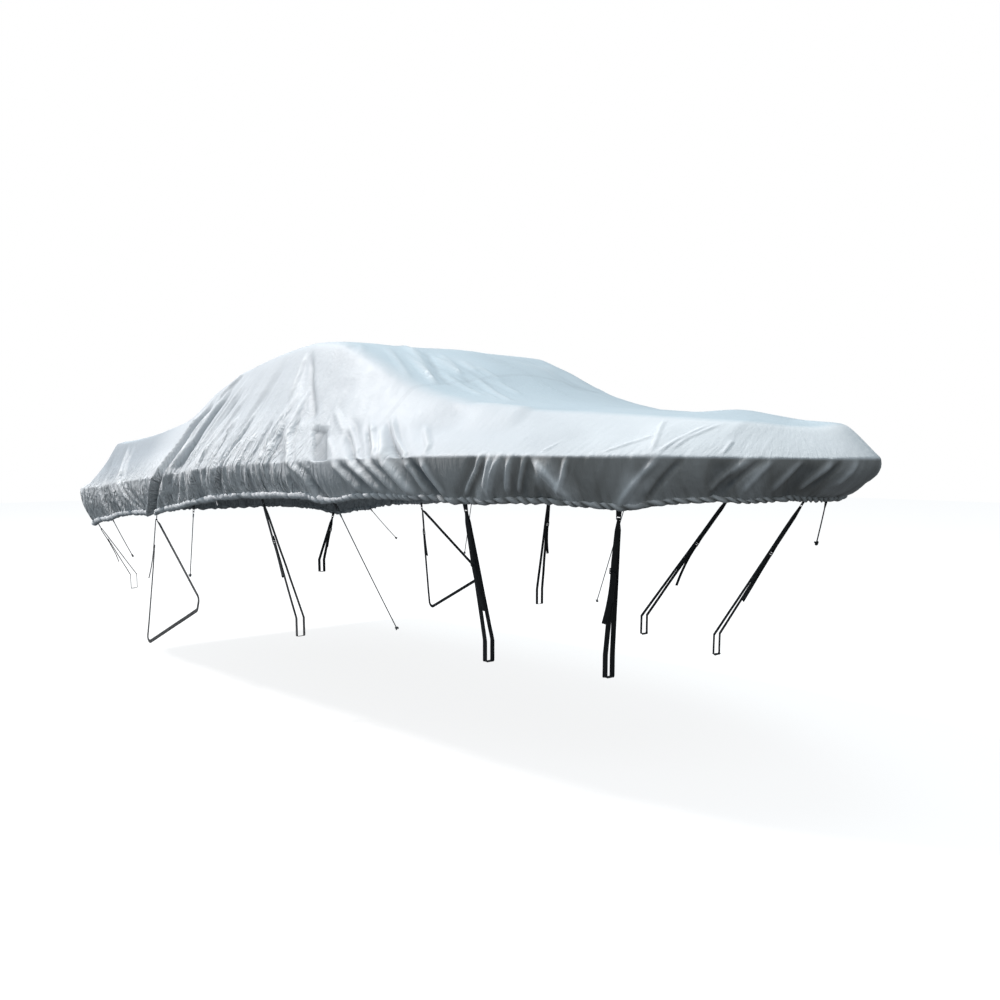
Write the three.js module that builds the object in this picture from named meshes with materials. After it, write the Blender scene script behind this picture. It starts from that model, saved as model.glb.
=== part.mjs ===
// Trailerable boat cover, draped over a 6 m runabout with a windshield and tied to its trailer.
// X runs from stern to bow, Y to port and Z up, in millimetres. The origin lies on the middle
// line, on the underside of the cloth at its highest place, over the windshield frame.

import * as THREE from 'three';

// ---------------------------------------------------------------- driving dimensions

const clothThickness = 2.5;
const seat = 0.3;              // gap between two pieces that touch
const seamX = 900;             // cross seam between the aft and the fore panel
const spineAft = -2000;        // ends of the ridge line; the cloth fans out from them
const spineFore = 2600;        // round the stern and round the bow
const stationStep = 68;        // length of rail between two columns of the cloth
const probe = { rail: 4, level: 0.02 };   // steps that find the slope of the cloth at a place
const middleLine = 3;
const levels = [middleLine, 2.5, 2.15, 1.9, 1.66, 1.42, 1.18, 1.04, 1, 0.88, 0.6, 0.3, 0.06, 0];

const webWidth = 25;
const webThickness = 1.5;
const pinchWidth = 12;         // the same strap, gathered where it goes through an eye
const pinchThickness = 3;
const pinchLength = 60;        // from the eye down to the strap's full width
const groundTurn = { radius: 36, steps: 4 };          // of the axle strap, flat on its side
const tab = { top: 26, bottom: 20, length: 50, thickness: 2.4 };
const pinchedTab = { width: 9, length: 42 };          // without an eye, gathered to a point
const eye = { width: 14, height: 10, bar: 5.5 };      // bar is the web below the eye
const buckle = { width: 36, height: 32, thickness: 3 };
const slot = { width: 27.2, height: 5.4, at: 7.5 };   // two slots, above and below its middle
const beam = { width: 50, height: 110, corner: 6 };   // trailer frame inside each strap's foot
const cordDiameter = 6;
const cordStep = 18;
const hook = { wire: 3.4, barrel: 10, barrelLength: 20, shank: 18 };

// The rail is the edge that the cloth bends over, from the middle of the stern to the bow.
// rise and inset lead from it up to the shoulder of the cloth, sag is how far the slope between
// them hangs, soft is the rounding of the shoulder, skirt hangs below and tuck draws it in.
const rail = withLength([
  { x: -3100, y: 0, z: -935, rise: 335, inset: 620, sag: 75, soft: 60, skirt: 170, tuck: 60 },
  { x: -3097, y: 600, z: -935, rise: 335, inset: 620, sag: 75, soft: 60, skirt: 170, tuck: 60 },
  { x: -3075, y: 1010, z: -937, rise: 335, inset: 520, sag: 65, soft: 60, skirt: 200, tuck: 80 },
  { x: -2990, y: 1160, z: -930, rise: 345, inset: 380, sag: 55, soft: 50, skirt: 245, tuck: 110 },
  { x: -2790, y: 1210, z: -903, rise: 350, inset: 260, sag: 40, soft: 40, skirt: 260, tuck: 95 },
  { x: -2480, y: 1217, z: -878, rise: 335, inset: 200, sag: 15, soft: 40, skirt: 250, tuck: 65 },
  { x: -2200, y: 1218, z: -854, rise: 335, inset: 220, sag: 5, soft: 40, skirt: 235, tuck: 60 },
  { x: -1850, y: 1220, z: -825, rise: 356, inset: 260, sag: 5, soft: 40, skirt: 235, tuck: 60 },
  { x: -1500, y: 1220, z: -797, rise: 424, inset: 320, sag: 10, soft: 50, skirt: 237, tuck: 60 },
  { x: -1200, y: 1220, z: -773, rise: 556, inset: 370, sag: 15, soft: 50, skirt: 225, tuck: 60 },
  { x: -850, y: 1220, z: -740, rise: 640, inset: 400, sag: 15, soft: 50, skirt: 205, tuck: 60 },
  { x: -300, y: 1220, z: -704, rise: 692, inset: 420, sag: 15, soft: 45, skirt: 190, tuck: 60 },
  { x: 150, y: 1218, z: -688, rise: 678, inset: 430, sag: 10, soft: 40, skirt: 190, tuck: 60 },
  { x: 400, y: 1215, z: -680, rise: 600, inset: 430, sag: 10, soft: 40, skirt: 197, tuck: 60 },
  { x: 900, y: 1190, z: -664, rise: 375, inset: 400, sag: 10, soft: 40, skirt: 200, tuck: 60 },
  { x: 1400, y: 1120, z: -652, rise: 250, inset: 360, sag: 5, soft: 30, skirt: 207, tuck: 60 },
  { x: 1850, y: 990, z: -648, rise: 205, inset: 350, sag: 0, soft: 30, skirt: 215, tuck: 65 },
  { x: 2250, y: 800, z: -650, rise: 177, inset: 310, sag: 0, soft: 30, skirt: 203, tuck: 75 },
  { x: 2500, y: 635, z: -652, rise: 160, inset: 240, sag: 0, soft: 30, skirt: 196, tuck: 90 },
  { x: 2700, y: 460, z: -656, rise: 150, inset: 190, sag: 0, soft: 30, skirt: 187, tuck: 115 },
  { x: 2850, y: 300, z: -658, rise: 140, inset: 165, sag: 0, soft: 30, skirt: 181, tuck: 145 },
  { x: 2960, y: 155, z: -660, rise: 138, inset: 155, sag: 0, soft: 30, skirt: 178, tuck: 180 },
  { x: 3012, y: 60, z: -660, rise: 147, inset: 150, sag: 0, soft: 30, skirt: 176, tuck: 200 },
  { x: 3025, y: 0, z: -660, rise: 147, inset: 150, sag: 0, soft: 30, skirt: 176, tuck: 210 },
]);

// Height of the cloth along the middle line.
const spine = [
  { x: -2000, z: -420 },
  { x: -1500, z: -325 },
  { x: -1200, z: -180 },
  { x: -950, z: -90 },
  { x: -650, z: -32 },
  { x: -300, z: -4 },
  { x: 0, z: 0 },
  { x: 150, z: -5 },
  { x: 400, z: -35 },
  { x: 550, z: -75 },
  { x: 800, z: -160 },
  { x: 1100, z: -290 },
  { x: 1350, z: -370 },
  { x: 1600, z: -402 },
  { x: 1800, z: -420 },
  { x: 2000, z: -440 },
  { x: 2200, z: -450 },
  { x: 2350, z: -446 },
  { x: 2450, z: -462 },
  { x: 2600, z: -497 },
];

// Main folds of the cloth. A path goes through points given as [x on the rail, level], where
// level 0 is the hem, 1 the rail, 2 the shoulder and 3 the middle line; width is to either side
// of the path, and a negative height is a trough. Those that port lacks are on starboard alone.
const folds = [
  { width: 75, height: -30, path: [[-1615, 0], [-1440, 0.6], [-1370, 1], [-1290, 1.5], [-1185, 2.1]] },
  { width: 70, height: 20, path: [[-1530, 0], [-1340, 0.6], [-1275, 1], [-1190, 1.5], [-1085, 2.05]] },
  { width: 80, height: -18, path: [[-1687, 0.06], [-1879, 0.48], [-1990, 0.95], [-2150, 1.4]] },
  { width: 80, height: 18, path: [[-1830, 0.1], [-1985, 0.5], [-2110, 1], [-2290, 1.9]] },
  { width: 85, height: -24, path: [[-2300, 0.1], [-2420, 0.6], [-2500, 1], [-2640, 1.9]] },
  { width: 90, height: 22, path: [[-2880, 0.3], [-2850, 1], [-2820, 1.7]] },
  { width: 75, height: -16, path: [[-1120, 0.5], [-1098, 1], [-1040, 1.5]] },
  { width: 75, height: 16, path: [[-860, 0.2], [-840, 1], [-760, 1.6]] },
  { width: 75, height: -18, path: [[-573, 0.2], [-480, 1], [-400, 1.45], [-300, 1.9]] },
  { width: 75, height: 15, path: [[-330, 0.3], [-290, 1], [-230, 1.5]] },
  { width: 80, height: 18, path: [[563, 0.02], [416, 0.69], [325, 1.05], [115, 1.2], [-15, 1.55]] },
  { width: 70, height: -15, path: [[360, 0.3], [240, 1], [60, 1.3]] },
  { width: 75, height: -12, path: [[270, 1.4], [14, 1.75], [-110, 1.95]], starboard: true },
  { width: 75, height: -16, path: [[963, 1], [861, 1.15], [623, 1.45]] },
  { width: 75, height: -18, path: [[1430, 0.2], [1263, 1], [1109, 1.3], [934, 1.6]] },
  { width: 75, height: 14, path: [[1270, 0.2], [1130, 1], [960, 1.4]] },
  { width: 70, height: -16, path: [[1600, 0.15], [1735, 1]] },
  { width: 70, height: 14, path: [[1700, 0.2], [1810, 1]] },
  { width: 70, height: -14, path: [[1870, 0.2], [1935, 1]] },
  { width: 90, height: 16, path: [[2079, 0.15], [1960, 0.9]] },
  { width: 80, height: 14, path: [[2289, 0.1], [2380, 0.6]] },
  { width: 80, height: -14, path: [[2597, 0.2], [2640, 1]] },
  { width: 80, height: 12, path: [[2700, 0.2], [2735, 1]] },
  { width: 80, height: -14, path: [[2860, 0.2], [2890, 0.95]] },
  { width: 80, height: 12, path: [[2985, 0.25], [2990, 1]] },
  { width: 110, height: 12, path: [[2409, 1.1], [2330, 1.9]], starboard: true },
  { width: 130, height: 22, path: [[1480, 1.85], [1700, 1.9]], starboard: true },
  { width: 170, height: -20, path: [[1250, 1.55], [1330, 1.9]], starboard: true },
];

// Where something is tied to the hem, from stern to bow; x is the place on the rail and pull is
// how far it draws the hem down. A strap goes round the trailer's frame at its foot, whose y is a
// half breadth. Its buckle sits at a share of the way down its outer leg, and its loose end hangs
// from there, drawn aside by splay. The axle strap runs forward to two more corners first. A cord
// goes straight to its foot, from a hook or from the tab itself.
const ties = [
  { name: 'stern', x: -2950, pull: 12, foot: [-2790, 870, -1650], share: 0.3, tail: 150, splay: 0 },
  { name: 'quarter', x: -2400, pull: 10, foot: [-2023, 1165, -1369], kind: 'cord' },
  {
    name: 'axle', x: -1630, pull: 14, foot: [-1650, 1240, -1950], share: 0.24, tail: 190, splay: -8,
    corners: [[-925, 1175, -1560], [-960, 1175, -1640]],
  },
  { name: 'cockpit', x: -975, pull: 0, foot: [-1079, 1160, -1430], kind: 'hook' },
  { name: 'middle', x: -65, pull: 4, foot: [-6, 973, -1650], share: 0.32, tail: 200, splay: 14 },
  { name: 'console', x: 675, pull: 24, foot: [722, 794, -1588], kind: 'hook' },
  { name: 'foredeck', x: 1565, pull: 12, foot: [1279, 613, -1650], share: 0.38, tail: 260, splay: 36 },
  { name: 'bow', x: 2255, pull: 26, foot: [1947, 426, -1650], share: 0.36, tail: 280, splay: -24 },
];
const stemFoot = [2771, 0, -1033];
const pullReach = 240;

// ---------------------------------------------------------------- tables into curves

function withLength(rows) {
  let at = 0;
  return rows.map((row, i) => {
    const last = rows[Math.max(0, i - 1)];
    at += Math.hypot(row.x - last.x, row.y - last.y);
    return { ...row, at };
  });
}

// A smooth curve through one column of a table, followed along its key column.
function along(rows, key, column, place) {
  const above = rows.findIndex((row) => row[key] > place);
  const i = above < 0 ? rows.length - 2 : Math.max(0, above - 1);
  const slope = (j) => {
    const a = rows[Math.max(0, j - 1)];
    const b = rows[Math.min(rows.length - 1, j + 1)];
    return (b[column] - a[column]) / (b[key] - a[key]);
  };
  const step = rows[i + 1][key] - rows[i][key];
  const t = THREE.MathUtils.clamp((place - rows[i][key]) / step, 0, 1);
  const rise = 3 * t ** 2 - 2 * t ** 3;
  return (1 - rise) * rows[i][column] + (t ** 3 - 2 * t ** 2 + t) * step * slope(i)
    + rise * rows[i + 1][column] + (t ** 3 - t ** 2) * step * slope(i + 1);
}

function railAt(at) {
  const edge = {};
  for (const column of Object.keys(rail[0])) edge[column] = along(rail, 'at', column, at);
  edge.y = Math.max(0, edge.y);
  return edge;
}

// ---------------------------------------------------------------- the draped surface

const softMin = (a, b, soft) => (a + b - Math.hypot(a - b, soft)) / 2;

// Rounded hill that is 1 in its middle and 0 past its reach.
const hill = (distance, reach) => Math.max(0, 1 - (distance / reach) ** 2) ** 2;

// How far the ties draw the hem down at a place along the rail.
function hemPull(railX) {
  return ties.reduce((sum, tie) => sum + tie.pull * hill(railX - tie.x, pullReach), 0);
}

// The cloth without its folds; side is +1 to port and -1 to starboard.
function smoothPoint(at, level, side) {
  const edge = railAt(at);
  const footX = THREE.MathUtils.clamp(edge.x, spineAft, spineFore);
  const topZ = along(spine, 'x', 'z', footX);
  const span = Math.hypot(edge.x - footX, edge.y);
  const inset = Math.min(edge.inset, 0.9 * span);
  let run = 0;
  let z = edge.z;
  if (level < 1) {
    run = edge.tuck * (1 - level) ** 2;
    z -= (edge.skirt + hemPull(edge.x)) * (1 - level);
  } else {
    run = level < 2 ? inset * (level - 1) : inset + (span - inset) * (level - 2);
    const t = run / inset;
    const across = THREE.MathUtils.smoothstep((span - run) / (span - inset), 0, 1);
    const slope = edge.z + edge.rise * t - 4 * edge.sag * t * (1 - t);
    const crown = THREE.MathUtils.lerp(topZ, edge.z + edge.rise, across);
    z = softMin(slope, crown, edge.soft);
    if (level > 2) z = THREE.MathUtils.lerp(z, crown, level - 2);
  }
  const share = run / span;
  return new THREE.Vector3(
    THREE.MathUtils.lerp(edge.x, footX, share),
    side * edge.y * (1 - share),
    z + clothThickness,
  );
}

// Length along the rail of the place where the rail reaches an x, forward of the stern corner.
function lengthAt(x) {
  let [low, high] = [rail[1].at, railLength];
  for (let i = 0; i < 40; i += 1) {
    const middle = (low + high) / 2;
    if (railAt(middle).x < x) low = middle;
    else high = middle;
  }
  return low;
}

// The legs of every fold as straight lines in space on one side of the boat.
function foldLegs(side) {
  return folds.filter((fold) => side < 0 || !fold.starboard).map((fold) => {
    const knots = fold.path.map(([x, level]) => smoothPoint(lengthAt(x), level, side));
    const legs = knots.slice(1).map((knot, i) => new THREE.Line3(knots[i], knot));
    return { ...fold, legs };
  });
}

// The cloth with its folds, which lift it along its normal everywhere but on the middle line.
function clothPoint(at, level, side) {
  const point = smoothPoint(at, level, side);
  if (level === middleLine) return point;
  const ahead = smoothPoint(Math.min(at + probe.rail, railLength), level, side);
  const behind = smoothPoint(Math.max(at - probe.rail, 0), level, side);
  const higher = smoothPoint(at, Math.min(level + probe.level, middleLine), side);
  const lower = smoothPoint(at, Math.max(level - probe.level, 0), side);
  const normal = ahead.sub(behind).cross(higher.sub(lower)).multiplyScalar(-side).normalize();
  const nearest = new THREE.Vector3();
  let lift = 0;
  for (const fold of legsOfSide[side]) {
    const distances = fold.legs.map((leg) => {
      return leg.closestPointToPoint(point, true, nearest).distanceTo(point);
    });
    lift += fold.height * hill(Math.min(...distances), fold.width);
  }
  return point.addScaledVector(normal, lift);
}

// ---------------------------------------------------------------- cloth panels

// Closes an open surface into a sheet: a second skin lies inside it, and rims join the two.
function thicken(points, faces, thickness) {
  const normals = points.map(() => new THREE.Vector3());
  const edges = new Map();
  for (const face of faces) {
    const [a, b, c] = face.map((i) => points[i]);
    const normal = b.clone().sub(a).cross(c.clone().sub(a));
    face.forEach((i) => normals[i].add(normal));
    face.forEach((i, k) => edges.set(`${i} ${face[(k + 1) % 3]}`, [i, face[(k + 1) % 3]]));
  }
  const inner = points.map((p, i) => p.clone().addScaledVector(normals[i].normalize(), -thickness));
  const count = points.length;
  const all = faces.flatMap((f) => [f, [f[2] + count, f[1] + count, f[0] + count]]);
  for (const [a, b] of edges.values()) {
    if (!edges.has(`${b} ${a}`)) all.push([b, a, a + count], [b, a + count, b + count]);
  }
  const geometry = new THREE.BufferGeometry().setFromPoints([...points, ...inner]);
  geometry.setIndex(all.flat());
  geometry.computeVertexNormals();
  return geometry;
}

// A list of points where equal points share one number.
function pointStore() {
  const points = [];
  const known = new Map();
  const add = (point) => {
    const key = point.toArray().map((value) => Math.round(value * 1e3)).join(' ');
    if (!known.has(key)) known.set(key, points.push(point) - 1);
    return known.get(key);
  };
  return { points, add };
}

// One panel covers the rail from one place to another on both sides of the boat. The starboard
// side has twice the columns of the port side, and the first strip to port joins the two.
function panel({ from, to, cells }) {
  const store = pointStore();
  const faces = [];
  const face = (a, b, c) => {
    if (a !== b && b !== c && c !== a) faces.push([a, b, c]);
  };
  const column = (i, side) => levels.map((level) => {
    return store.add(clothPoint(THREE.MathUtils.lerp(from, to, i / cells), level, side));
  });
  const starboard = [];
  const port = [];
  for (let i = 0; i <= cells; i += 1) starboard.push(column(i, -1));
  for (let i = 0; i <= cells; i += 2) port.push(column(i, 1));
  for (let i = 0; i < cells; i += 1) {
    const [near, next] = [starboard[i], starboard[i + 1]];
    for (let k = 0; k + 1 < levels.length; k += 1) {
      face(near[k], near[k + 1], next[k + 1]);
      face(near[k], next[k + 1], next[k]);
    }
  }
  for (let j = 0; 2 * j < cells; j += 1) {
    const [near, next] = [port[j], port[j + 1]];
    const ridge = [0, 1, 2].map((i) => starboard[2 * j + i][0]);
    face(ridge[0], ridge[1], near[1]);
    face(ridge[1], next[1], near[1]);
    face(ridge[1], ridge[2], next[1]);
    for (let k = 1; k + 1 < levels.length; k += 1) {
      face(near[k], next[k + 1], near[k + 1]);
      face(near[k], next[k], next[k + 1]);
    }
  }
  return thicken(store.points, faces, clothThickness);
}

// A place on the rim of the hem, kept off the columns, where the rim is one straight edge: the
// middle of the cloth's thickness there and the way that the edge runs toward the bow.
function hemPlace(x, side) {
  const wanted = lengthAt(x);
  const part = wanted < panels.aft.to ? panels.aft : panels.fore;
  const cell = (side < 0 ? 1 : 2) * (part.to - part.from) / part.cells;
  const cells = (wanted - part.from) / cell;
  const start = part.from + Math.floor(cells) * cell;
  const [a, b] = [clothPoint(start, 0, side), clothPoint(start + cell, 0, side)];
  const way = b.clone().sub(a).normalize();
  const point = a.lerp(b, THREE.MathUtils.clamp(cells % 1, 0.25, 0.75));
  point.addScaledVector(new THREE.Vector3(-way.y, way.x, 0), -side * clothThickness / 2);
  return { point, way };
}

// Axes of what hangs from a place on the hem toward its foot: z up the strap, y away from the
// boat and x along the hem, square to both. at() takes x, y and z from the top of the tab, and
// edge is half of its sewn edge, which follows the hem.
function hangFrom({ point, way }, foot, side) {
  const z = point.clone().sub(foot).normalize();
  const x = way.clone().addScaledVector(z, -way.dot(z)).normalize();
  const y = x.clone().cross(z).multiplyScalar(-side);
  const top = point.clone().addScaledVector(z, -seat);
  const at = (along, out, up) => {
    return top.clone().addScaledVector(x, along).addScaledVector(y, out).addScaledVector(z, up);
  };
  const edge = [way.dot(x) * tab.top / 2, way.dot(z) * tab.top / 2];
  return { x, y, z, at, edge };
}

// ---------------------------------------------------------------- tabs and buckles

function rectangle(width, height, middle) {
  const [w, low, high] = [width / 2, middle - height / 2, middle + height / 2];
  return [[-w, low], [w, low], [w, high], [-w, high]].map((p) => new THREE.Vector2(...p));
}

// A plate with its outline and holes drawn along a frame's x and z axes.
function plate(outline, holes, thickness, frame, centre) {
  const shape = new THREE.Shape(outline);
  shape.holes = holes.map((hole) => new THREE.Path(hole));
  const geometry = new THREE.ExtrudeGeometry(shape, { depth: thickness, bevelEnabled: false });
  const depth = frame.x.clone().cross(frame.z);
  const matrix = new THREE.Matrix4().makeBasis(frame.x, frame.z, depth);
  matrix.setPosition(centre.clone().addScaledVector(depth, -thickness / 2));
  return geometry.applyMatrix4(matrix);
}

function tabPlate(frame, foot, holes) {
  const [x, z] = frame.edge;
  const outline = [[x, z], [-x, -z], [-foot.width / 2, -foot.length], [foot.width / 2, -foot.length]];
  const points = outline.map((p) => new THREE.Vector2(...p));
  return plate(points, holes, tab.thickness, frame, frame.at(0, 0, 0));
}

function eyeTab(frame) {
  const hole = rectangle(eye.width, eye.height, -tab.length + eye.bar + eye.height / 2);
  return tabPlate(frame, { width: tab.bottom, length: tab.length }, [hole]);
}

function bucklePlate(frame, centre) {
  const slots = [-slot.at, slot.at].map((place) => rectangle(slot.width, slot.height, place));
  const outline = rectangle(buckle.width, buckle.height, 0);
  return plate(outline, slots, buckle.thickness, frame, centre);
}

// ---------------------------------------------------------------- straps, hooks and cords

// Sweeps a section along stops. Each has its point, its section as offsets sideways and square
// to that, and across, which gives the sideways direction for the direction of the path.
function sweep(stops) {
  const sides = stops[0].section.length;
  const points = [];
  const faces = [];
  stops.forEach(({ point, section, across }, i) => {
    const before = stops[Math.max(0, i - 1)].point;
    const after = stops[Math.min(stops.length - 1, i + 1)].point;
    const tangent = after.clone().sub(before).normalize();
    const sideways = across(tangent);
    sideways.addScaledVector(tangent, -sideways.dot(tangent)).normalize();
    const square = tangent.clone().cross(sideways);
    for (const [a, b] of section) {
      points.push(point.clone().addScaledVector(sideways, a).addScaledVector(square, b));
    }
    for (let k = 0; i > 0 && k < sides; k += 1) {
      const [a, b] = [(i - 1) * sides + k, (i - 1) * sides + (k + 1) % sides];
      faces.push([a, b, b + sides], [a, b + sides, a + sides]);
    }
  });
  const last = (stops.length - 1) * sides;
  for (let k = 1; k + 1 < sides; k += 1) {
    faces.push([0, k + 1, k], [last, last + k, last + k + 1]);
  }
  const geometry = new THREE.BufferGeometry().setFromPoints(points);
  geometry.setIndex(faces.flat());
  geometry.computeVertexNormals();
  return geometry;
}

function webSection(width, thickness) {
  const [w, t] = [width / 2, thickness / 2];
  return [[-w, -t], [w, -t], [w, t], [-w, t]];
}

function roundSection(diameter) {
  return Array.from({ length: 8 }, (_, k) => {
    const angle = (k + 0.5) * Math.PI / 4;
    return [Math.cos(angle) * diameter / 2, Math.sin(angle) * diameter / 2];
  });
}

// An arc that rounds off the corner between two legs.
function roundedCorner(before, corner, after, { radius, steps }) {
  const back = before.clone().sub(corner).normalize();
  const on = after.clone().sub(corner).normalize();
  const half = back.angleTo(on) / 2;
  const centre = back.clone().add(on).normalize().multiplyScalar(radius / Math.sin(half));
  const cut = radius / Math.tan(half);
  const [start, end] = [back.multiplyScalar(cut).sub(centre), on.multiplyScalar(cut).sub(centre)];
  const sweptAngle = Math.PI - 2 * half;
  return Array.from({ length: steps + 1 }, (_, k) => {
    const t = k / steps;
    const a = Math.sin((1 - t) * sweptAngle) / Math.sin(sweptAngle);
    const b = Math.sin(t * sweptAngle) / Math.sin(sweptAngle);
    return corner.clone().add(centre).addScaledVector(start, a).addScaledVector(end, b);
  });
}

// How a strap or a hook turns over the bar of an eye, as [out, up] from the bar's top edge.
const eyeTurn = [[4.4, -9], [4.2, -2], [3, 1.6], [0, 3.2], [-3, 1.6], [-4.2, -2], [-4.4, -9]];

// How a strap turns round the end bar of a buckle and through its slot, as [out, up] from the
// buckle's middle, and the lie of what goes on from there.
const slotTurn = [[-3.2, 12], [-2.6, 8], [0, 7], [2.6, 8], [3.2, 12]];
const sewnEnd = [-2.9, 34];
const leaving = [2.4, 50];
const tailSteps = 4;

// The corners of the trailer that a strap goes round, from its inner leg to its outer leg.
function footCorners(tie, side) {
  const [x, y, z] = tie.foot;
  const [half, high] = [beam.width / 2, beam.height / 2];
  const box = [[-half, high], [-half, -high], [half, -high], [half, high]];
  const rims = box.map(([out, up]) => [x, y + out, z + up]);
  const corners = tie.corners ? [...tie.corners, tie.foot] : rims;
  return corners.map(([cx, cy, cz]) => new THREE.Vector3(cx, side * cy, cz));
}

// Where the buckle sits on the strap's outer leg.
function buckleCentre(tie, side, frame) {
  const bottom = footCorners(tie, side).at(-1);
  return frame.at(0, tab.thickness, eye.bar - tab.length).lerp(bottom, tie.share);
}

// The strap starts at its sewn end behind the buckle and goes up to the eye, down the inner leg,
// round its foot, up the outer leg and through the buckle again to its loose end.
function strapSweep(tie, side, frame) {
  const flat = webSection(webWidth, webThickness);
  const pinched = webSection(pinchWidth, pinchThickness);
  const stops = [];
  const add = (section, points, across) => {
    points.forEach((point) => stops.push({ point, section, across }));
  };
  const level = () => frame.x.clone();
  const turned = tie.corners ? () => frame.x.clone().negate() : level;
  const inPlane = (tangent) => new THREE.Vector3(0, -1, 0).cross(tangent);
  const centre = buckleCentre(tie, side, frame);
  const onBuckle = (out, up, aside = 0) => {
    const point = centre.clone().addScaledVector(frame.x, aside);
    return point.addScaledVector(frame.y, out).addScaledVector(frame.z, up);
  };
  const bar = eye.bar - tab.length;
  const corners = footCorners(tie, side);

  const [eyeOut] = eyeTurn[0];
  add(flat, [sewnEnd, ...slotTurn, leaving].map(([out, up]) => onBuckle(out, up)), level);
  add(flat, [frame.at(0, eyeOut, bar - pinchLength)], level);
  add(pinched, eyeTurn.map(([out, up]) => frame.at(0, out, bar + up)), level);
  const innerTop = frame.at(0, -eyeOut, bar);
  const innerWay = corners[0].clone().sub(innerTop).normalize();
  add(flat, [innerTop.addScaledVector(innerWay, pinchLength)], tie.corners ? inPlane : level);

  const [slotOut, slotUp] = slotTurn[0];
  const path = [innerTop, ...corners, onBuckle(slotOut, -slotUp)];
  const bend = tie.corners ? groundTurn : { radius: beam.corner, steps: 2 };
  for (let i = 1; i + 1 < path.length; i += 1) {
    const arc = roundedCorner(path[i - 1], path[i], path[i + 1], bend);
    add(flat, arc, tie.corners ? inPlane : level);
  }
  add(flat, slotTurn.map(([out, up]) => onBuckle(out, -up)), turned);
  for (let k = 1; k <= tailSteps; k += 1) {
    const share = k / tailSteps;
    const point = onBuckle(k ** 2 - slotOut, -slotUp - tie.tail * share, tie.splay * share ** 2);
    add(flat, [point], turned);
  }
  return sweep(stops);
}

// A wire hook over the bar of an eye, with the barrel that a cord is tied into.
function hookSweep(frame) {
  const bar = eye.bar - tab.length;
  const [wire, barrel] = [roundSection(hook.wire), roundSection(hook.barrel)];
  const low = bar - hook.shank;
  const turn = eyeTurn.map(([out, up]) => [wire, -out, up + bar]);
  const rest = [[wire, 0, low], [barrel, 0, low - 1], [barrel, 0, low - hook.barrelLength]];
  const stops = [...turn, ...rest].map(([section, out, up]) => {
    return { section, point: frame.at(0, out, up), across: () => frame.x.clone() };
  });
  return sweep(stops);
}

function cordTube(from, to) {
  const steps = Math.ceil(from.distanceTo(to) / cordStep);
  const shape = new THREE.Shape(roundSection(cordDiameter).map((p) => new THREE.Vector2(...p)));
  const path = new THREE.LineCurve3(from, to);
  return new THREE.ExtrudeGeometry(shape, { steps, bevelEnabled: false, extrudePath: path });
}

// ---------------------------------------------------------------- the cover

const railLength = rail.at(-1).at;
const seamAt = rail.find((row) => row.x === seamX).at;
const legsOfSide = { [-1]: foldLegs(-1), 1: foldLegs(1) };

function evenCells(from, to) {
  return 2 * Math.round((to - from) / stationStep / 2);
}

const panels = {
  aft: { from: 0, to: seamAt - seat / 2, cells: evenCells(0, seamAt) },
  fore: { from: seamAt + seat / 2, to: railLength, cells: evenCells(seamAt, railLength) },
};

const finishes = {
  cloth: { color: 0xb9c3c6, roughness: 0.5, metalness: 0.05, side: THREE.DoubleSide },
  webbing: { color: 0x17181a, roughness: 0.85, metalness: 0 },
  buckle: { color: 0x232426, roughness: 0.4, metalness: 0.1 },
  cord: { color: 0x8f949b, roughness: 0.8, metalness: 0 },
  darkCord: { color: 0x26282b, roughness: 0.8, metalness: 0 },
  hook: { color: 0xd9dadc, roughness: 0.35, metalness: 0.6 },
};

function place(group, name, geometry, finish) {
  const mesh = new THREE.Mesh(geometry, new THREE.MeshStandardMaterial(finishes[finish]));
  mesh.name = name;
  group.add(mesh);
}

function tieDown(group, tie, side) {
  const name = `${tie.name}_${side < 0 ? 'starboard' : 'port'}`;
  const foot = new THREE.Vector3(tie.foot[0], side * tie.foot[1], tie.foot[2]);
  const frame = hangFrom(hemPlace(tie.x, side), foot, side);
  if (tie.kind === 'cord') {
    place(group, `tab_${name}`, tabPlate(frame, pinchedTab, []), 'webbing');
    place(group, `cord_${name}`, cordTube(frame.at(0, 0, -pinchedTab.length - seat), foot), 'darkCord');
    return;
  }
  place(group, `tab_${name}`, eyeTab(frame), 'webbing');
  if (tie.kind === 'hook') {
    const low = eye.bar - tab.length - hook.shank - hook.barrelLength - seat;
    place(group, `hook_${name}`, hookSweep(frame), 'hook');
    place(group, `cord_${name}`, cordTube(frame.at(0, 0, low), foot), 'cord');
    return;
  }
  place(group, `strap_${name}`, strapSweep(tie, side, frame), 'webbing');
  place(group, `buckle_${name}`, bucklePlate(frame, buckleCentre(tie, side, frame)), 'buckle');
}

// The tab at the bow lies across the boat, under the point of the hem.
function stemTie(group) {
  const foot = new THREE.Vector3(...stemFoot);
  const point = clothPoint(railLength, 0, -1);
  point.x -= clothThickness;
  const frame = hangFrom({ point, way: new THREE.Vector3(0, 1, 0) }, foot, 1);
  place(group, 'tab_stem', tabPlate(frame, pinchedTab, []), 'webbing');
  place(group, 'cord_stem', cordTube(frame.at(0, 0, -pinchedTab.length - seat), foot), 'darkCord');
}

const cover = new THREE.Group();
place(cover, 'cover_aft', panel(panels.aft), 'cloth');
place(cover, 'cover_fore', panel(panels.fore), 'cloth');
for (const tie of ties) {
  tieDown(cover, tie, -1);
  tieDown(cover, tie, 1);
}
stemTie(cover);

export default cover;
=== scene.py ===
import math

import bpy
import numpy as np
from mathutils import Matrix, Vector


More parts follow.
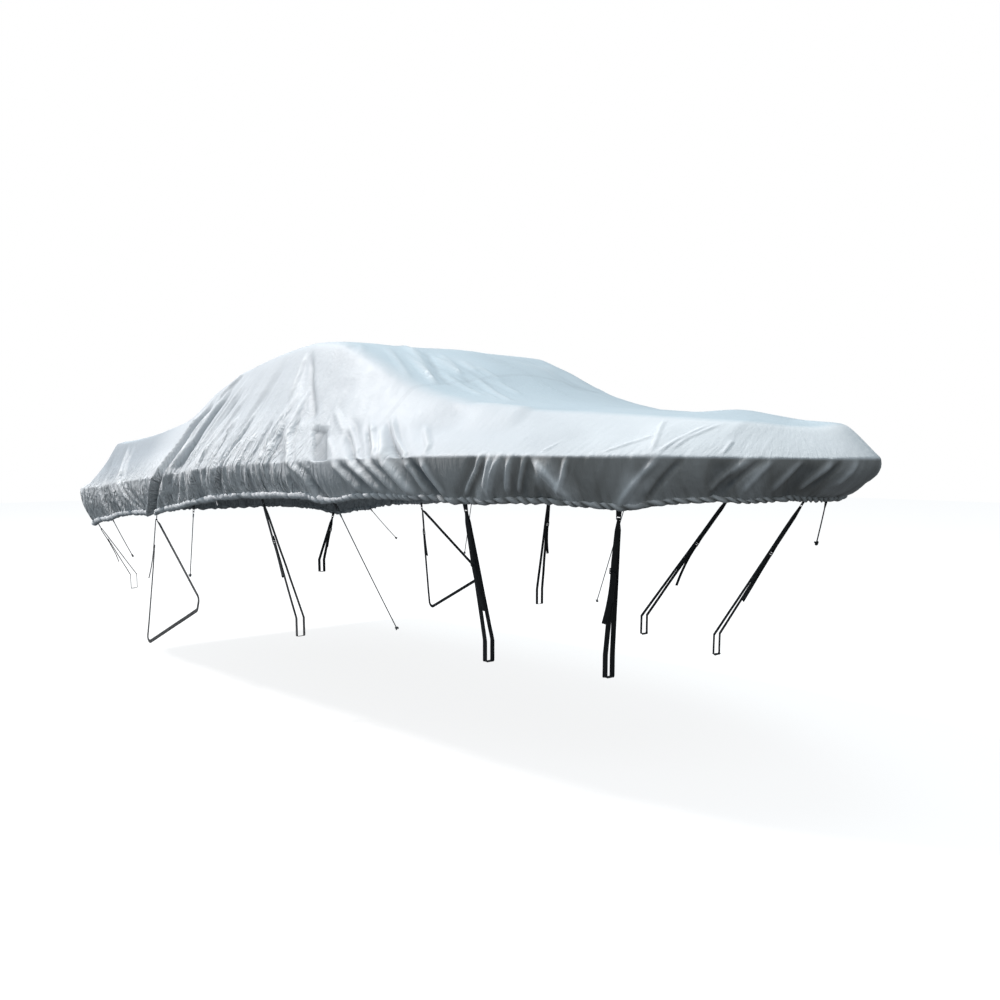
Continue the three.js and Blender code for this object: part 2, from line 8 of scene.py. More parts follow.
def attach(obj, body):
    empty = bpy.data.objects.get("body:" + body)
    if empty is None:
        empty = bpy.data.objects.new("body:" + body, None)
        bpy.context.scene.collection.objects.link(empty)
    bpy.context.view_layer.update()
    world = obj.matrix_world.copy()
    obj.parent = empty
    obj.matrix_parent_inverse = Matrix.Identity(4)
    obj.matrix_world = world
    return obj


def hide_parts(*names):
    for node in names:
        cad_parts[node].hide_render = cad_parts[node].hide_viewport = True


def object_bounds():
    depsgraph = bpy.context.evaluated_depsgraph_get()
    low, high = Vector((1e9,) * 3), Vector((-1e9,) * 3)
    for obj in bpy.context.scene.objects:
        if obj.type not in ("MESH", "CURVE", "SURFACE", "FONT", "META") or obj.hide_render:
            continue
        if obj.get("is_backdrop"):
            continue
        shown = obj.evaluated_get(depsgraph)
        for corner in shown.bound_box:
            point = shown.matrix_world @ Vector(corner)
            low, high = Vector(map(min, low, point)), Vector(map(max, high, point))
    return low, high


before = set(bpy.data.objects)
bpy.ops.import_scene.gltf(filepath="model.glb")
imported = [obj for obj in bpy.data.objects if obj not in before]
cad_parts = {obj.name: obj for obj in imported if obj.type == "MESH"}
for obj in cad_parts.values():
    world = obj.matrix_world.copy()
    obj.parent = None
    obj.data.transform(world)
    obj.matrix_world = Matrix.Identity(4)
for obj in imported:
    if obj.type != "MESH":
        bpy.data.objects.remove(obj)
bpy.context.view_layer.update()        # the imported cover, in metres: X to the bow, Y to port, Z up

print("frame loaded,", len(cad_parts), "nodes")
mm = 0.001
scene = bpy.context.scene


# the camera, at standing height off the bow on the starboard side
cameraSetup = {"place": (5.151, -3.941, -0.644), "tilt": 81.46, "turn": 48.66, "lens": 36.1,
               "sensor": 36.0, "shiftY": 0.105}
cameraData = bpy.data.cameras.new("camera")
cameraData.lens = cameraSetup["lens"]
cameraData.sensor_width = cameraSetup["sensor"]
cameraData.shift_y = cameraSetup["shiftY"]
camera = bpy.data.objects.new("camera", cameraData)
camera.location = cameraSetup["place"]
camera.rotation_euler = (math.radians(cameraSetup["tilt"]), 0, math.radians(cameraSetup["turn"]))
scene.collection.objects.link(camera)
scene.camera = camera
print("camera placed")


# small helpers for shapes; all lengths below are in millimetres until a mesh is made
def smoothStep(t):
    t = np.clip(t, 0, 1)
    return t * t * (3 - 2 * t)


def hill(distance, reach):
    return np.maximum(0, 1 - (distance / reach) ** 2) ** 2


def curveThrough(keys, values, place):
    keys, values = np.asarray(keys, float), np.asarray(values, float)
    slopes = np.zeros(len(keys))
    slopes[1:-1] = (values[2:] - values[:-2]) / (keys[2:] - keys[:-2])
    slopes[0] = (values[1] - values[0]) / (keys[1] - keys[0])
    slopes[-1] = (values[-1] - values[-2]) / (keys[-1] - keys[-2])
    i = np.clip(np.searchsorted(keys, place, side="right") - 1, 0, len(keys) - 2)
    step = keys[i + 1] - keys[i]
    t = np.clip((place - keys[i]) / step, 0, 1)
    rise = 3 * t ** 2 - 2 * t ** 3
    return ((1 - rise) * values[i] + (t ** 3 - 2 * t ** 2 + t) * step * slopes[i]
            + rise * values[i + 1] + (t ** 3 - t ** 2) * step * slopes[i + 1])


noiseCells = 97


def softNoise(u, v, seed):
    # seeded, so each run agrees
    lattice = np.random.RandomState(seed).uniform(-1, 1, (noiseCells, noiseCells))
    i, j = np.floor(u).astype(int), np.floor(v).astype(int)
    a, b = smoothStep(u - i), smoothStep(v - j)
    i, j, k, m = (cell % noiseCells for cell in (i, j, i + 1, j + 1))
    low = lattice[i, j] * (1 - a) + lattice[k, j] * a
    high = lattice[i, m] * (1 - a) + lattice[k, m] * a
    return low * (1 - b) + high * b


def unit(vectors):
    return vectors / np.maximum(np.linalg.norm(vectors, axis=-1, keepdims=True), 1e-9)


def meshPiece(name, points, faces, uv=None, fields=None):
    mesh = bpy.data.meshes.new(name)
    mesh.from_pydata((np.asarray(points) * mm).tolist(), [], faces)
    mesh.validate()
    corner = np.zeros(len(mesh.loops), np.int32)
    mesh.loops.foreach_get("vertex_index", corner)
    if uv is not None:
        layer = mesh.uv_layers.new(name="cloth")
        layer.data.foreach_set("uv", (np.asarray(uv)[corner] * mm).astype(np.float32).ravel())
    for field, values in (fields or {}).items():
        attribute = mesh.attributes.new(field, "FLOAT", "POINT")
        attribute.data.foreach_set("value", np.asarray(values, np.float32).ravel())
    mesh.shade_smooth()
    piece = bpy.data.objects.new(name, mesh)
    scene.collection.objects.link(piece)
    return piece


pieces = []                # each finished piece, with the finish that it gets


def enter(piece, slot, node=None, finish=None):
    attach(piece, "root")
    if node:
        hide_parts(node)
    pieces.append((piece, finish or slot))


def selectNone():
    bpy.ops.object.select_all(action="DESELECT")


def onlyActive(piece):
    selectNone()
    piece.select_set(True)
    bpy.context.view_layer.objects.active = piece


def editAll():
    bpy.ops.object.mode_set(mode="EDIT")
    bpy.ops.mesh.select_all(action="SELECT")


def doneEditing():
    bpy.ops.object.mode_set(mode="OBJECT")


def addModifier(piece, kind, **settings):
    modifier = piece.modifiers.new(kind.lower(), kind)
    for setting, value in settings.items():
        setattr(modifier, setting, value)
    onlyActive(piece)
    bpy.ops.object.modifier_apply(modifier=modifier.name)


def roundEdges(piece, radius, sharpFrom):
    addModifier(piece, "BEVEL", width=radius * mm, segments=3, limit_method="ANGLE",
                angle_limit=math.radians(sharpFrom))


def shadeFrom(degrees):
    bpy.ops.object.shade_smooth_by_angle(angle=math.radians(degrees))


# how the cover lies: the rail is the edge that it bends over, from the middle of the stern to
# the bow; rise and inset lead up to the shoulder, skirt hangs below and tuck draws it in
drape = {
    "thickness": 2.5, "seamX": 900, "spineAft": -2000, "spineFore": 2600, "stationStep": 68,
    "pullReach": 240, "gap": 0.3, "mostInset": 0.9, "foldFade": 0.4, "foldLeft": 0.08,
    "columns": ("x", "y", "z", "rise", "inset", "sag", "soft", "skirt", "tuck"),
    "rail": [
        (-3100, 0, -935, 335, 620, 75, 60, 170, 60),
        (-3097, 600, -935, 335, 620, 75, 60, 170, 60),
        (-3075, 1010, -937, 335, 520, 65, 60, 200, 80),
        (-2990, 1160, -930, 345, 380, 55, 50, 245, 110),
        (-2790, 1210, -903, 350, 260, 40, 40, 260, 95),
        (-2480, 1217, -878, 335, 200, 15, 40, 250, 65),
        (-2200, 1218, -854, 335, 220, 5, 40, 235, 60),
        (-1850, 1220, -825, 356, 260, 5, 40, 235, 60),
        (-1500, 1220, -797, 424, 320, 10, 50, 237, 60),
        (-1200, 1220, -773, 556, 370, 15, 50, 225, 60),
        (-850, 1220, -740, 640, 400, 15, 50, 205, 60),
        (-300, 1220, -704, 692, 420, 15, 45, 190, 60),
        (150, 1218, -688, 678, 430, 10, 40, 190, 60),
        (400, 1215, -680, 600, 430, 10, 40, 197, 60),
        (900, 1190, -664, 375, 400, 10, 40, 200, 60),
        (1400, 1120, -652, 250, 360, 5, 30, 207, 60),
        (1850, 990, -648, 205, 350, 0, 30, 215, 65),
        (2250, 800, -650, 177, 310, 0, 30, 203, 75),
        (2500, 635, -652, 160, 240, 0, 30, 196, 90),
        (2700, 460, -656, 150, 190, 0, 30, 187, 115),
        (2850, 300, -658, 140, 165, 0, 30, 181, 145),
        (2960, 155, -660, 138, 155, 0, 30, 178, 180),
        (3012, 60, -660, 147, 150, 0, 30, 176, 200),
        (3025, 0, -660, 147, 150, 0, 30, 176, 210)],
    "ridge": [
        (-2000, -420), (-1500, -325), (-1200, -180), (-950, -90), (-650, -32), (-300, -4), (0, 0),
        (150, -5), (400, -35), (550, -75), (800, -160), (1100, -290), (1350, -370), (1600, -402),
        (1800, -420), (2000, -440), (2200, -450), (2350, -446), (2450, -462), (2600, -497)],
}
railRows = np.array(drape["rail"], float)
railAtKeys = np.concatenate([[0], np.cumsum(np.hypot(*np.diff(railRows[:, :2], axis=0).T))])
railLength = railAtKeys[-1]
seamAt = railAtKeys[[row[0] for row in drape["rail"]].index(drape["seamX"])]
ridgeRows = np.array(drape["ridge"], float)

# where it is tied down: place on the rail, how far the hem is drawn down, and the trailer's corner
ties = [
    {"name": "stern", "x": -2950, "pull": 12, "foot": (-2790, 870, -1650), "share": 0.3,
     "tail": 150, "splay": 0},
    {"name": "quarter", "x": -2400, "pull": 10, "foot": (-2023, 1165, -1369), "kind": "cord"},
    {"name": "axle", "x": -1630, "pull": 14, "foot": (-1650, 1240, -1950), "share": 0.24,
     "tail": 190, "splay": -8, "corners": [(-925, 1175, -1560), (-960, 1175, -1640)]},
    {"name": "cockpit", "x": -975, "pull": 0, "foot": (-1079, 1160, -1430), "kind": "hook"},
    {"name": "middle", "x": -65, "pull": 4, "foot": (-6, 973, -1650), "share": 0.32,
     "tail": 200, "splay": 14},
    {"name": "console", "x": 675, "pull": 24, "foot": (722, 794, -1588), "kind": "hook"},
    {"name": "foredeck", "x": 1565, "pull": 12, "foot": (1279, 613, -1650), "share": 0.38,
     "tail": 260, "splay": 36},
    {"name": "bow", "x": 2255, "pull": 26, "foot": (1947, 426, -1650), "share": 0.36,
     "tail": 280, "splay": -24},
]

# the main folds, near those of the solids: half width, height, path over (rail x, level), and
# 1 where only starboard has it; level 0 is the hem, 1 the rail, 2 the shoulder, 3 the middle
mainFolds = [
    (62, -34, [(-1615, 0), (-1430, 0.6), (-1330, 1), (-1225, 1.5), (-1150, 1.85)], 0),
    (70, 12, [(-1530, 0), (-1330, 0.6), (-1230, 1), (-1110, 1.5), (-1040, 1.85)], 0),
    (95, -9, [(-1687, 0.06), (-1879, 0.48), (-1990, 0.95), (-2150, 1.4)], 0),
    (95, 10, [(-1830, 0.1), (-1985, 0.5), (-2110, 1), (-2290, 1.9)], 0),
    (85, -18, [(-2300, 0.1), (-2420, 0.6), (-2500, 1), (-2640, 1.9)], 0),
    (130, 10, [(-2880, 0.3), (-2850, 1), (-2820, 1.7)], 0),
    (75, -16, [(-1120, 0.5), (-1098, 1), (-1040, 1.5)], 0),
    (75, 16, [(-860, 0.2), (-840, 1), (-760, 1.6)], 0),
    (75, -18, [(-573, 0.2), (-480, 1), (-400, 1.45), (-300, 1.9)], 0),
    (75, 15, [(-330, 0.3), (-290, 1), (-230, 1.5)], 0),
    (70, 10, [(563, 0.02), (476, 0.66), (330, 1.05), (170, 1.22), (110, 1.55)], 0),
    (70, -15, [(360, 0.3), (240, 1), (60, 1.3)], 0),
    (75, -12, [(270, 1.4), (14, 1.75), (-110, 1.95)], 1),
    (75, -16, [(963, 1), (861, 1.15), (623, 1.45)], 0),
    (75, -18, [(1430, 0.2), (1263, 1), (1109, 1.3), (934, 1.6)], 0),
    (75, 14, [(1270, 0.2), (1130, 1), (960, 1.4)], 0), (70, -16, [(1600, 0.15), (1735, 1)], 0),
    (70, 14, [(1700, 0.2), (1810, 1)], 0), (70, -14, [(1870, 0.2), (1935, 1)], 0),
    (90, 16, [(2079, 0.15), (1960, 0.9)], 0), (80, 14, [(2289, 0.1), (2380, 0.6)], 0),
    (80, -14, [(2597, 0.2), (2640, 1)], 0), (80, 12, [(2700, 0.2), (2735, 1)], 0),
    (80, -14, [(2860, 0.2), (2890, 0.95)], 0), (80, 12, [(2985, 0.25), (2990, 1)], 0),
    (110, 6, [(2409, 1.1), (2330, 1.9)], 1), (190, 16, [(1480, 1.9), (1700, 1.95)], 1),
    (190, -12, [(1250, 1.6), (1330, 1.95)], 1),
]


def railAt(at):
    edge = {name: curveThrough(railAtKeys, railRows[:, i], at)
            for i, name in enumerate(drape["columns"])}
    edge["y"] = np.maximum(0, edge["y"])
    return edge


# halving finds how far along the rail an x is reached, forward of the stern's corner
def lengthAt(x):
    low = np.full(np.shape(x), railAtKeys[1])
    high = np.full(np.shape(x), railLength)
    for _ in range(32):
        middle = (low + high) / 2
        under = curveThrough(railAtKeys, railRows[:, 0], middle) < x
        low, high = np.where(under, middle, low), np.where(under, high, middle)
    return low


def smoothPoint(at, level, side):
    at, level = np.broadcast_arrays(np.asarray(at, float), np.asarray(level, float))
    edge = railAt(at)
    footX = np.clip(edge["x"], drape["spineAft"], drape["spineFore"])
    topZ = curveThrough(ridgeRows[:, 0], ridgeRows[:, 1], footX)
    span = np.maximum(np.hypot(edge["x"] - footX, edge["y"]), 1e-6)
    inset = np.minimum(edge["inset"], drape["mostInset"] * span)
    pulled = sum(tie["pull"] * hill(edge["x"] - tie["x"], drape["pullReach"]) for tie in ties)
    runSkirt = edge["tuck"] * (1 - level) ** 2
    runSlope = np.where(level < 2, inset * (level - 1), inset + (span - inset) * (level - 2))
    t = runSlope / inset
    across = smoothStep((span - runSlope) / (span - inset))
    slope = edge["z"] + edge["rise"] * t - 4 * edge["sag"] * t * (1 - t)
    crown = topZ + (edge["z"] + edge["rise"] - topZ) * across
    z = (slope + crown - np.hypot(slope - crown, edge["soft"])) / 2
    z = np.where(level > 2, z + (crown - z) * (level - 2), z)
    z = np.where(level < 1, edge["z"] - (edge["skirt"] + pulled) * (1 - level), z)
    share = np.where(level < 1, runSkirt, runSlope) / span
    return np.stack([edge["x"] + (footX - edge["x"]) * share, side * edge["y"] * (1 - share),
                     z + drape["thickness"]], axis=-1)


def outward(at, level, side, alongStep=4, levelStep=0.02):
    ahead, behind = (smoothPoint(np.clip(at + step, 0, railLength), level, side)
                     for step in (alongStep, -alongStep))
    higher, lower = (smoothPoint(at, np.clip(level + step, 0, 3), side)
                     for step in (levelStep, -levelStep))
    return unit(np.cross(ahead - behind, higher - lower) * -side)


# nearest distance to a path of straight legs, and the share of the path where that is
def nearPath(points, knots):
    best = np.full(points.shape[:-1], 1e9)
    share = np.zeros(points.shape[:-1])
    lengths = np.linalg.norm(np.diff(knots, axis=0), axis=1)
    done = 0
    for start, end, length in zip(knots[:-1], knots[1:], lengths):
        way = end - start
        t = np.clip((points - start) @ way / max(way @ way, 1e-9), 0, 1)
        distance = np.linalg.norm(points - start - t[..., None] * way, axis=-1)
        nearer = distance < best
        best = np.where(nearer, distance, best)
        share = np.where(nearer, (done + t * length) / lengths.sum(), share)
        done += length
    return best, share


foldKnots = {-1: [], 1: []}
for width, height, path, starboardOnly in mainFolds:
    for side in (-1,) if starboardOnly else (-1, 1):
        x, level = np.array(path, float).T
        foldKnots[side].append((width, height, smoothPoint(lengthAt(x), level, side)))


def mainLift(points, side):
    lift = 0
    for width, height, knots in foldKnots[side]:
        distance, share = nearPath(points, knots)
        fade = smoothStep((1 - share) / drape["foldFade"] + drape["foldLeft"])
        lift = lift + height * hill(distance, width) * fade
    return lift


def foldedPoint(at, level, side):
    point = smoothPoint(at, level, side)
    lift = np.where(np.asarray(level) == 3, 0, mainLift(point, side))
    return point + outward(np.asarray(at, float), np.asarray(level, float), side) * lift[..., None]


# what hangs from the hem: a frame with z up toward the tab, y away from the boat, x along the hem
hanging = {"tabLength": 50, "tabThickness": 2.4, "eyeBar": 5.5, "pinchedLength": 42,
           "cellMargin": 0.25}


class HangFrame:
    def __init__(self, point, way, foot, side):
        self.z = unit(point - foot)
        self.x = unit(way - way.dot(self.z) * self.z)
        self.y = np.cross(self.x, self.z) * -side
        self.top = point - self.z * drape["gap"]

    def at(self, along, out, up):
        return self.top + self.x * along + self.y * out + self.z * up


def evenCells(length):
    return 2 * int(np.floor(length / drape["stationStep"] / 2 + 0.5))


def hangFrom(tie, side):
    wanted = float(lengthAt(tie["x"]))
    start, end, cells = 0, seamAt - drape["gap"] / 2, evenCells(seamAt)
    if wanted >= end:
        start, end = seamAt + drape["gap"] / 2, railLength
        cells = evenCells(railLength - seamAt)
    cell = (1 if side < 0 else 2) * (end - start) / cells
    number = (wanted - start) / cell
    first = start + math.floor(number) * cell
    a, b = foldedPoint(first, 0, side), foldedPoint(first + cell, 0, side)
    way = unit(b - a)
    clear = hanging["cellMargin"]
    point = a + (b - a) * min(1 - clear, max(clear, number % 1))
    point = point + np.array([-way[1], way[0], 0]) * -side * drape["thickness"] / 2
    foot = np.array(tie["foot"], float) * (1, side, 1)
    return HangFrame(point, way, foot, side), foot


stemFoot = (2771.0, 0, -1033)


def stemFrame():
    foot = np.array(stemFoot)
    point = foldedPoint(railLength, 0, -1) - (drape["thickness"], 0, 0)
    return HangFrame(point, np.array([0.0, 1, 0]), foot, 1), foot


sides = (("starboard", -1), ("port", 1))
frames = {(tie["name"], word): hangFrom(tie, side) for tie in ties for word, side in sides}
print("hem places found")


# tube or band swept along rings of points, closed at both ends, with its own UV map
def sweptPiece(name, rings, along, around, fields=None):
    count, number = len(rings), len(rings[0])
    faces = []
    for i in range(count - 1):
        for k in range(number):
            a, b = i * number + k, i * number + (k + 1) % number
            faces.append((a, b, b + number, a + number))
    faces.append(tuple(range(number - 1, -1, -1)))
    faces.append(tuple((count - 1) * number + k for k in range(number)))
    uv = np.stack([np.repeat(along, number), np.tile(around, count)], axis=1)
    return meshPiece(name, np.reshape(rings, (-1, 3)), faces, uv, fields)


def lengthsAlong(points):
    return np.concatenate([[0], np.cumsum(np.linalg.norm(np.diff(points, axis=0), axis=1))])


# laid cord of three strands, which turn round it as it runs
cordShape = {"diameter": 6.0, "step": 2.5, "sides": 15, "strands": 3, "turn": 17.0, "sag": 4.0,
             "lobe": 0.1, "aside": (0.31, 0.9, 0.3)}
knotShape = {"size": 2.9, "start": 0.35, "end": 0.1, "steps": 70, "high": 1.25, "tilt": 1.1,
             "turn": 1.3, "above": 5, "stemSeed": 20}
# one plated wire hook with a barrel for the cord
hookShape = {"wire": 1.7, "bend": 4.4, "shank": 18, "barrel": 5, "barrelLength": 20, "tip": 9,
             "start": 1, "grooves": ((4, 7), (13, 16)), "groove": 0.9, "nearGroove": 0.5,
             "wireSides": 14, "bendSteps": 16, "barrelSides": 24, "crook": 0.25, "merged": 0.05,
             "bevel": 0.6, "bevelFrom": 30, "shadedFrom": 40}


def cordRings(path):
    along = lengthsAlong(path)
    tangent = unit(np.gradient(path, axis=0))
    sideways = unit(np.cross(tangent, cordShape["aside"]))
    square = np.cross(tangent, sideways)
    angle = np.arange(cordShape["sides"]) * 2 * np.pi / cordShape["sides"]
    turned = angle[None, :] - along[:, None] * 2 * np.pi / cordShape["turn"]
    dip = cordShape["lobe"] * (1 + np.cos(cordShape["strands"] * turned)) / 2
    radius = cordShape["diameter"] / 2 * (1 - dip)
    ring = (np.cos(angle)[None, :, None] * sideways[:, None]
            + np.sin(angle)[None, :, None] * square[:, None])
    return path[:, None] + radius[..., None] * ring, along, angle * 3


def tautPath(start, end):
    count = int(np.linalg.norm(end - start) / cordShape["step"])
    t = np.linspace(0, 1, count)[:, None]
    return start + (end - start) * t - np.array([0, 0, cordShape["sag"]]) * 4 * t * (1 - t)


def knotPiece(name, place, seed):
    t = np.linspace(knotShape["start"], 2 * np.pi - knotShape["end"], knotShape["steps"])
    loop = np.stack([np.sin(t) + 2 * np.sin(2 * t), np.cos(t) - 2 * np.cos(2 * t),
                     -knotShape["high"] * np.sin(3 * t)], axis=1) * knotShape["size"]
    turned = np.array(Matrix.Rotation(seed * knotShape["turn"], 3, "Z")
                      @ Matrix.Rotation(knotShape["tilt"], 3, "X"))
    path = loop @ turned.T + place
    return sweptPiece(name, *cordRings(path))


def cordPiece(name, node, start, end, slot, seed):
    path = tautPath(start, end)
    piece = sweptPiece(name, *cordRings(path))
    knot = knotPiece(name.replace("cord", "knot"), end + unit(start - end) * knotShape["above"],
                     seed)
    enter(piece, slot, node)
    enter(knot, slot)


cordEnds = {"cord": ("dark_cord", -hanging["pinchedLength"]),
            "hook": ("cord", hanging["eyeBar"] - hanging["tabLength"] - hookShape["shank"]
                     - hookShape["barrelLength"])}
for number, (tie, (word, side)) in enumerate((tie, pair) for tie in ties for pair in sides):
    if "kind" in tie:
        hangFrame, foot = frames[tie["name"], word]
        node = f"cord_{tie['name']}_{word}"
        slot, low = cordEnds[tie["kind"]]
        cordPiece(f"tie_{node}", node, hangFrame.at(0, 0, low - drape["gap"]), foot, slot, number)
hangFrame, foot = stemFrame()
slot, low = cordEnds["cord"]
cordPiece("tie_cord_stem", "cord_stem", hangFrame.at(0, 0, low - drape["gap"]), foot, slot,
          knotShape["stemSeed"])


# finer folds on the starboard side: half width, height, path over (rail x, level)
fineFolds = [
    (34, -13, [(-1615, 0), (-1430, 0.6), (-1330, 1), (-1225, 1.5), (-1145, 1.88)]),
    (36, 18, [(-1675, 0), (-1492, 0.6), (-1392, 1), (-1285, 1.5), (-1205, 1.88)]),
    (26, 9, [(-1085, 1.8), (-940, 1.92), (-845, 2)]),
    (26, -8, [(-1150, 0.9), (-1040, 1.4), (-930, 1.8)]),
    (26, 9, [(-1200, 1), (-1070, 1.5), (-970, 1.88)]),
    (26, -9, [(-1160, 1), (-1030, 1.5), (-930, 1.85)]),
    (26, 8, [(-1280, 0.75), (-1190, 1.1), (-1130, 1.45), (-1060, 1.75)]),
    (24, -8, [(-1010, 1), (-960, 1.35), (-850, 1.8)]),
    (26, 9, [(-960, 1), (-880, 1.4), (-760, 1.85)]),
    (26, -9, [(-900, 1), (-815, 1.4), (-720, 1.75)]),
    (26, 8, [(-800, 1), (-720, 1.35), (-620, 1.7)]),
    (26, 10, [(-647, 1), (-610, 1.25), (-580, 1.5)]),
    (24, -9, [(-690, 0.5), (-655, 1), (-615, 1.3)]),
    (28, 11, [(-573, 0.1), (-540, 0.6), (-480, 1), (-400, 1.42), (-370, 1.6)]),
    (26, -10, [(-545, 0.2), (-500, 0.7), (-440, 1.05), (-370, 1.4)]),
    (26, 9, [(-430, 0.2), (-405, 0.8), (-350, 1.25)]),
    (26, 9, [(-250, 0.3), (-230, 0.9), (-190, 1.3)]),
    (26, -8, [(-120, 0.2), (-110, 1), (-80, 1.4)]), (26, 9, [(-10, 0.5), (0, 1), (10, 1.5)]),
    (26, 9, [(85, 0.6), (80, 1), (60, 1.35), (30, 1.6)]),
    (24, -8, [(135, 0.6), (125, 1), (100, 1.3)]),
    (32, 6.5, [(590, 0), (535, 0.29), (480, 0.64), (320, 1.06), (180, 1.24), (150, 1.36),
               (130, 1.52), (120, 1.68)]),
    (30, -7, [(640, 0.02), (585, 0.3), (525, 0.64), (372, 1.04), (232, 1.2), (196, 1.36),
              (176, 1.5)]),
    (30, -9, [(370, 1.34), (330, 1.4), (120, 1.66), (74, 1.75), (-50, 1.93)]),
    (26, 8, [(0, 1.5), (-50, 1.75), (-100, 1.92)]),
    (28, 6, [(-1687, 0.06), (-1879, 0.48), (-1988, 0.93), (-2150, 1.4), (-2250, 1.9)]),
    (30, 5, [(-1760, 0.06), (-1930, 0.45), (-2040, 0.9), (-2200, 1.4), (-2330, 1.85)]),
    (26, -6, [(-1725, 0.06), (-1900, 0.45), (-2012, 0.9), (-2175, 1.4), (-2290, 1.85)]),
    (28, 5, [(-2080, 1.1), (-2200, 1.45), (-2350, 1.85)]),
    (26, 6, [(-1900, 0.08), (-2040, 0.5), (-2130, 0.95)]),
    (26, 7, [(-2080, 0.1), (-2170, 0.6), (-2220, 0.95)]),
    (24, -9, [(-2200, 0.1), (-2270, 0.6), (-2300, 1.1)]),
    (30, 5, [(-2380, 0.1), (-2460, 0.6), (-2560, 1.2)]),
    (28, -13, [(-2900, 0.05), (-2950, 0.6), (-2985, 1.1), (-3000, 1.5)]),
    (28, 5, [(-2820, 0.1), (-2850, 0.6), (-2880, 1.2)]),
    (28, 5, [(-2680, 0.1), (-2700, 0.7), (-2740, 1.3)]),
    (22, 10, [(1010, 0.8), (963, 0.97), (861, 1.15), (700, 1.36), (623, 1.43)]),
    (20, -9, [(985, 0.9), (930, 1), (830, 1.17), (690, 1.34)]),
    (22, 10, [(1110, 0.85), (1052, 1.09), (930, 1.3), (814, 1.48)]),
    (20, -9, [(1085, 0.85), (1030, 1.05), (905, 1.28), (800, 1.45)]),
    (22, 9, [(1180, 0.85), (1112, 1.09), (1020, 1.27), (937, 1.42)]),
    (22, 11, [(1310, 0.85), (1263, 1.06), (1109, 1.29), (934, 1.58)]),
    (20, -9, [(1285, 0.85), (1235, 1.05), (1080, 1.28), (915, 1.55)]),
    (20, 8, [(1420, 0.95), (1376, 1.18), (1270, 1.4), (1188, 1.56)]),
    (20, 7, [(760, 1.02), (690, 1.12), (560, 1.25)]),
    (20, 7, [(700, 1.3), (580, 1.4), (470, 1.5)]), (30, 12, [(740, 0.98), (845, 0.6), (965, 0.1)]),
    (30, 13, [(868, 0.98), (985, 0.6), (1115, 0.1)]),
    (28, 11, [(1008, 0.97), (1105, 0.6), (1220, 0.08)]),
    (30, 13, [(1140, 0.98), (1225, 0.6), (1320, 0.08)]),
    (28, 12, [(1262, 0.98), (1335, 0.6), (1408, 0.08)]),
    (26, 11, [(1385, 0.97), (1440, 0.5), (1496, 0.1)]),
    (24, -6, [(805, 0.9), (905, 0.6), (1020, 0.15)]),
    (24, -6, [(940, 0.9), (1045, 0.6), (1165, 0.15)]),
    (22, -6, [(1080, 0.9), (1170, 0.6), (1270, 0.15)]),
    (22, -6, [(1320, 0.9), (1390, 0.5), (1452, 0.1)]),
    (20, 11, [(1728, 1.04), (1690, 0.7), (1592, 0.12)]),
    (20, 8, [(1773, 1.01), (1750, 0.7), (1719, 0.3)]),
    (20, 9, [(1818, 1.01), (1770, 0.6), (1728, 0.15)]),
    (20, 9, [(1862, 0.98), (1840, 0.6), (1818, 0.2)]),
    (20, 10, [(1930, 0.99), (1900, 0.6), (1862, 0.15)]),
    (26, 10, [(1950, 0.97), (2020, 0.55), (2079, 0.12)]),
    (20, 9, [(2100, 0.98), (2080, 0.6), (2040, 0.2)]),
    (22, 7, [(2440, 0.95), (2350, 0.51), (2269, 0.1)]),
    (20, -6, [(2520, 0.95), (2440, 0.5), (2360, 0.1)]),
    (20, 6, [(2720, 0.97), (2645, 0.6), (2560, 0.15)]),
    (18, 5, [(2790, 0.96), (2735, 0.6), (2670, 0.2)]),
    (18, -6, [(2755, 0.95), (2690, 0.6), (2620, 0.2)]),
    (20, 6, [(2870, 0.96), (2825, 0.6), (2768, 0.2)]),
    (22, 8, [(2945, 0.95), (2910, 0.6), (2866, 0.2)]),
    (18, -5, [(2965, 0.95), (2940, 0.6), (2905, 0.25)]),
    (18, 5, [(2998, 0.97), (2988, 0.7), (2970, 0.4)]),
    (15, 3.2, [(2409, 1.03), (2360, 1.5), (2307, 1.95)]),
    (14, 3.4, [(2425, 1.03), (2450, 1.4), (2500, 1.85)]), (14, 3, [(2632, 1.05), (2632, 1.45)]),
    (14, 2.6, [(2455, 1.1), (2475, 1.45), (2540, 1.9)]),
    (14, 3, [(2220, 1.04), (2290, 1.3), (2360, 1.5)]), (14, 2.6, [(1980, 1.05), (2000, 1.3)]),
]
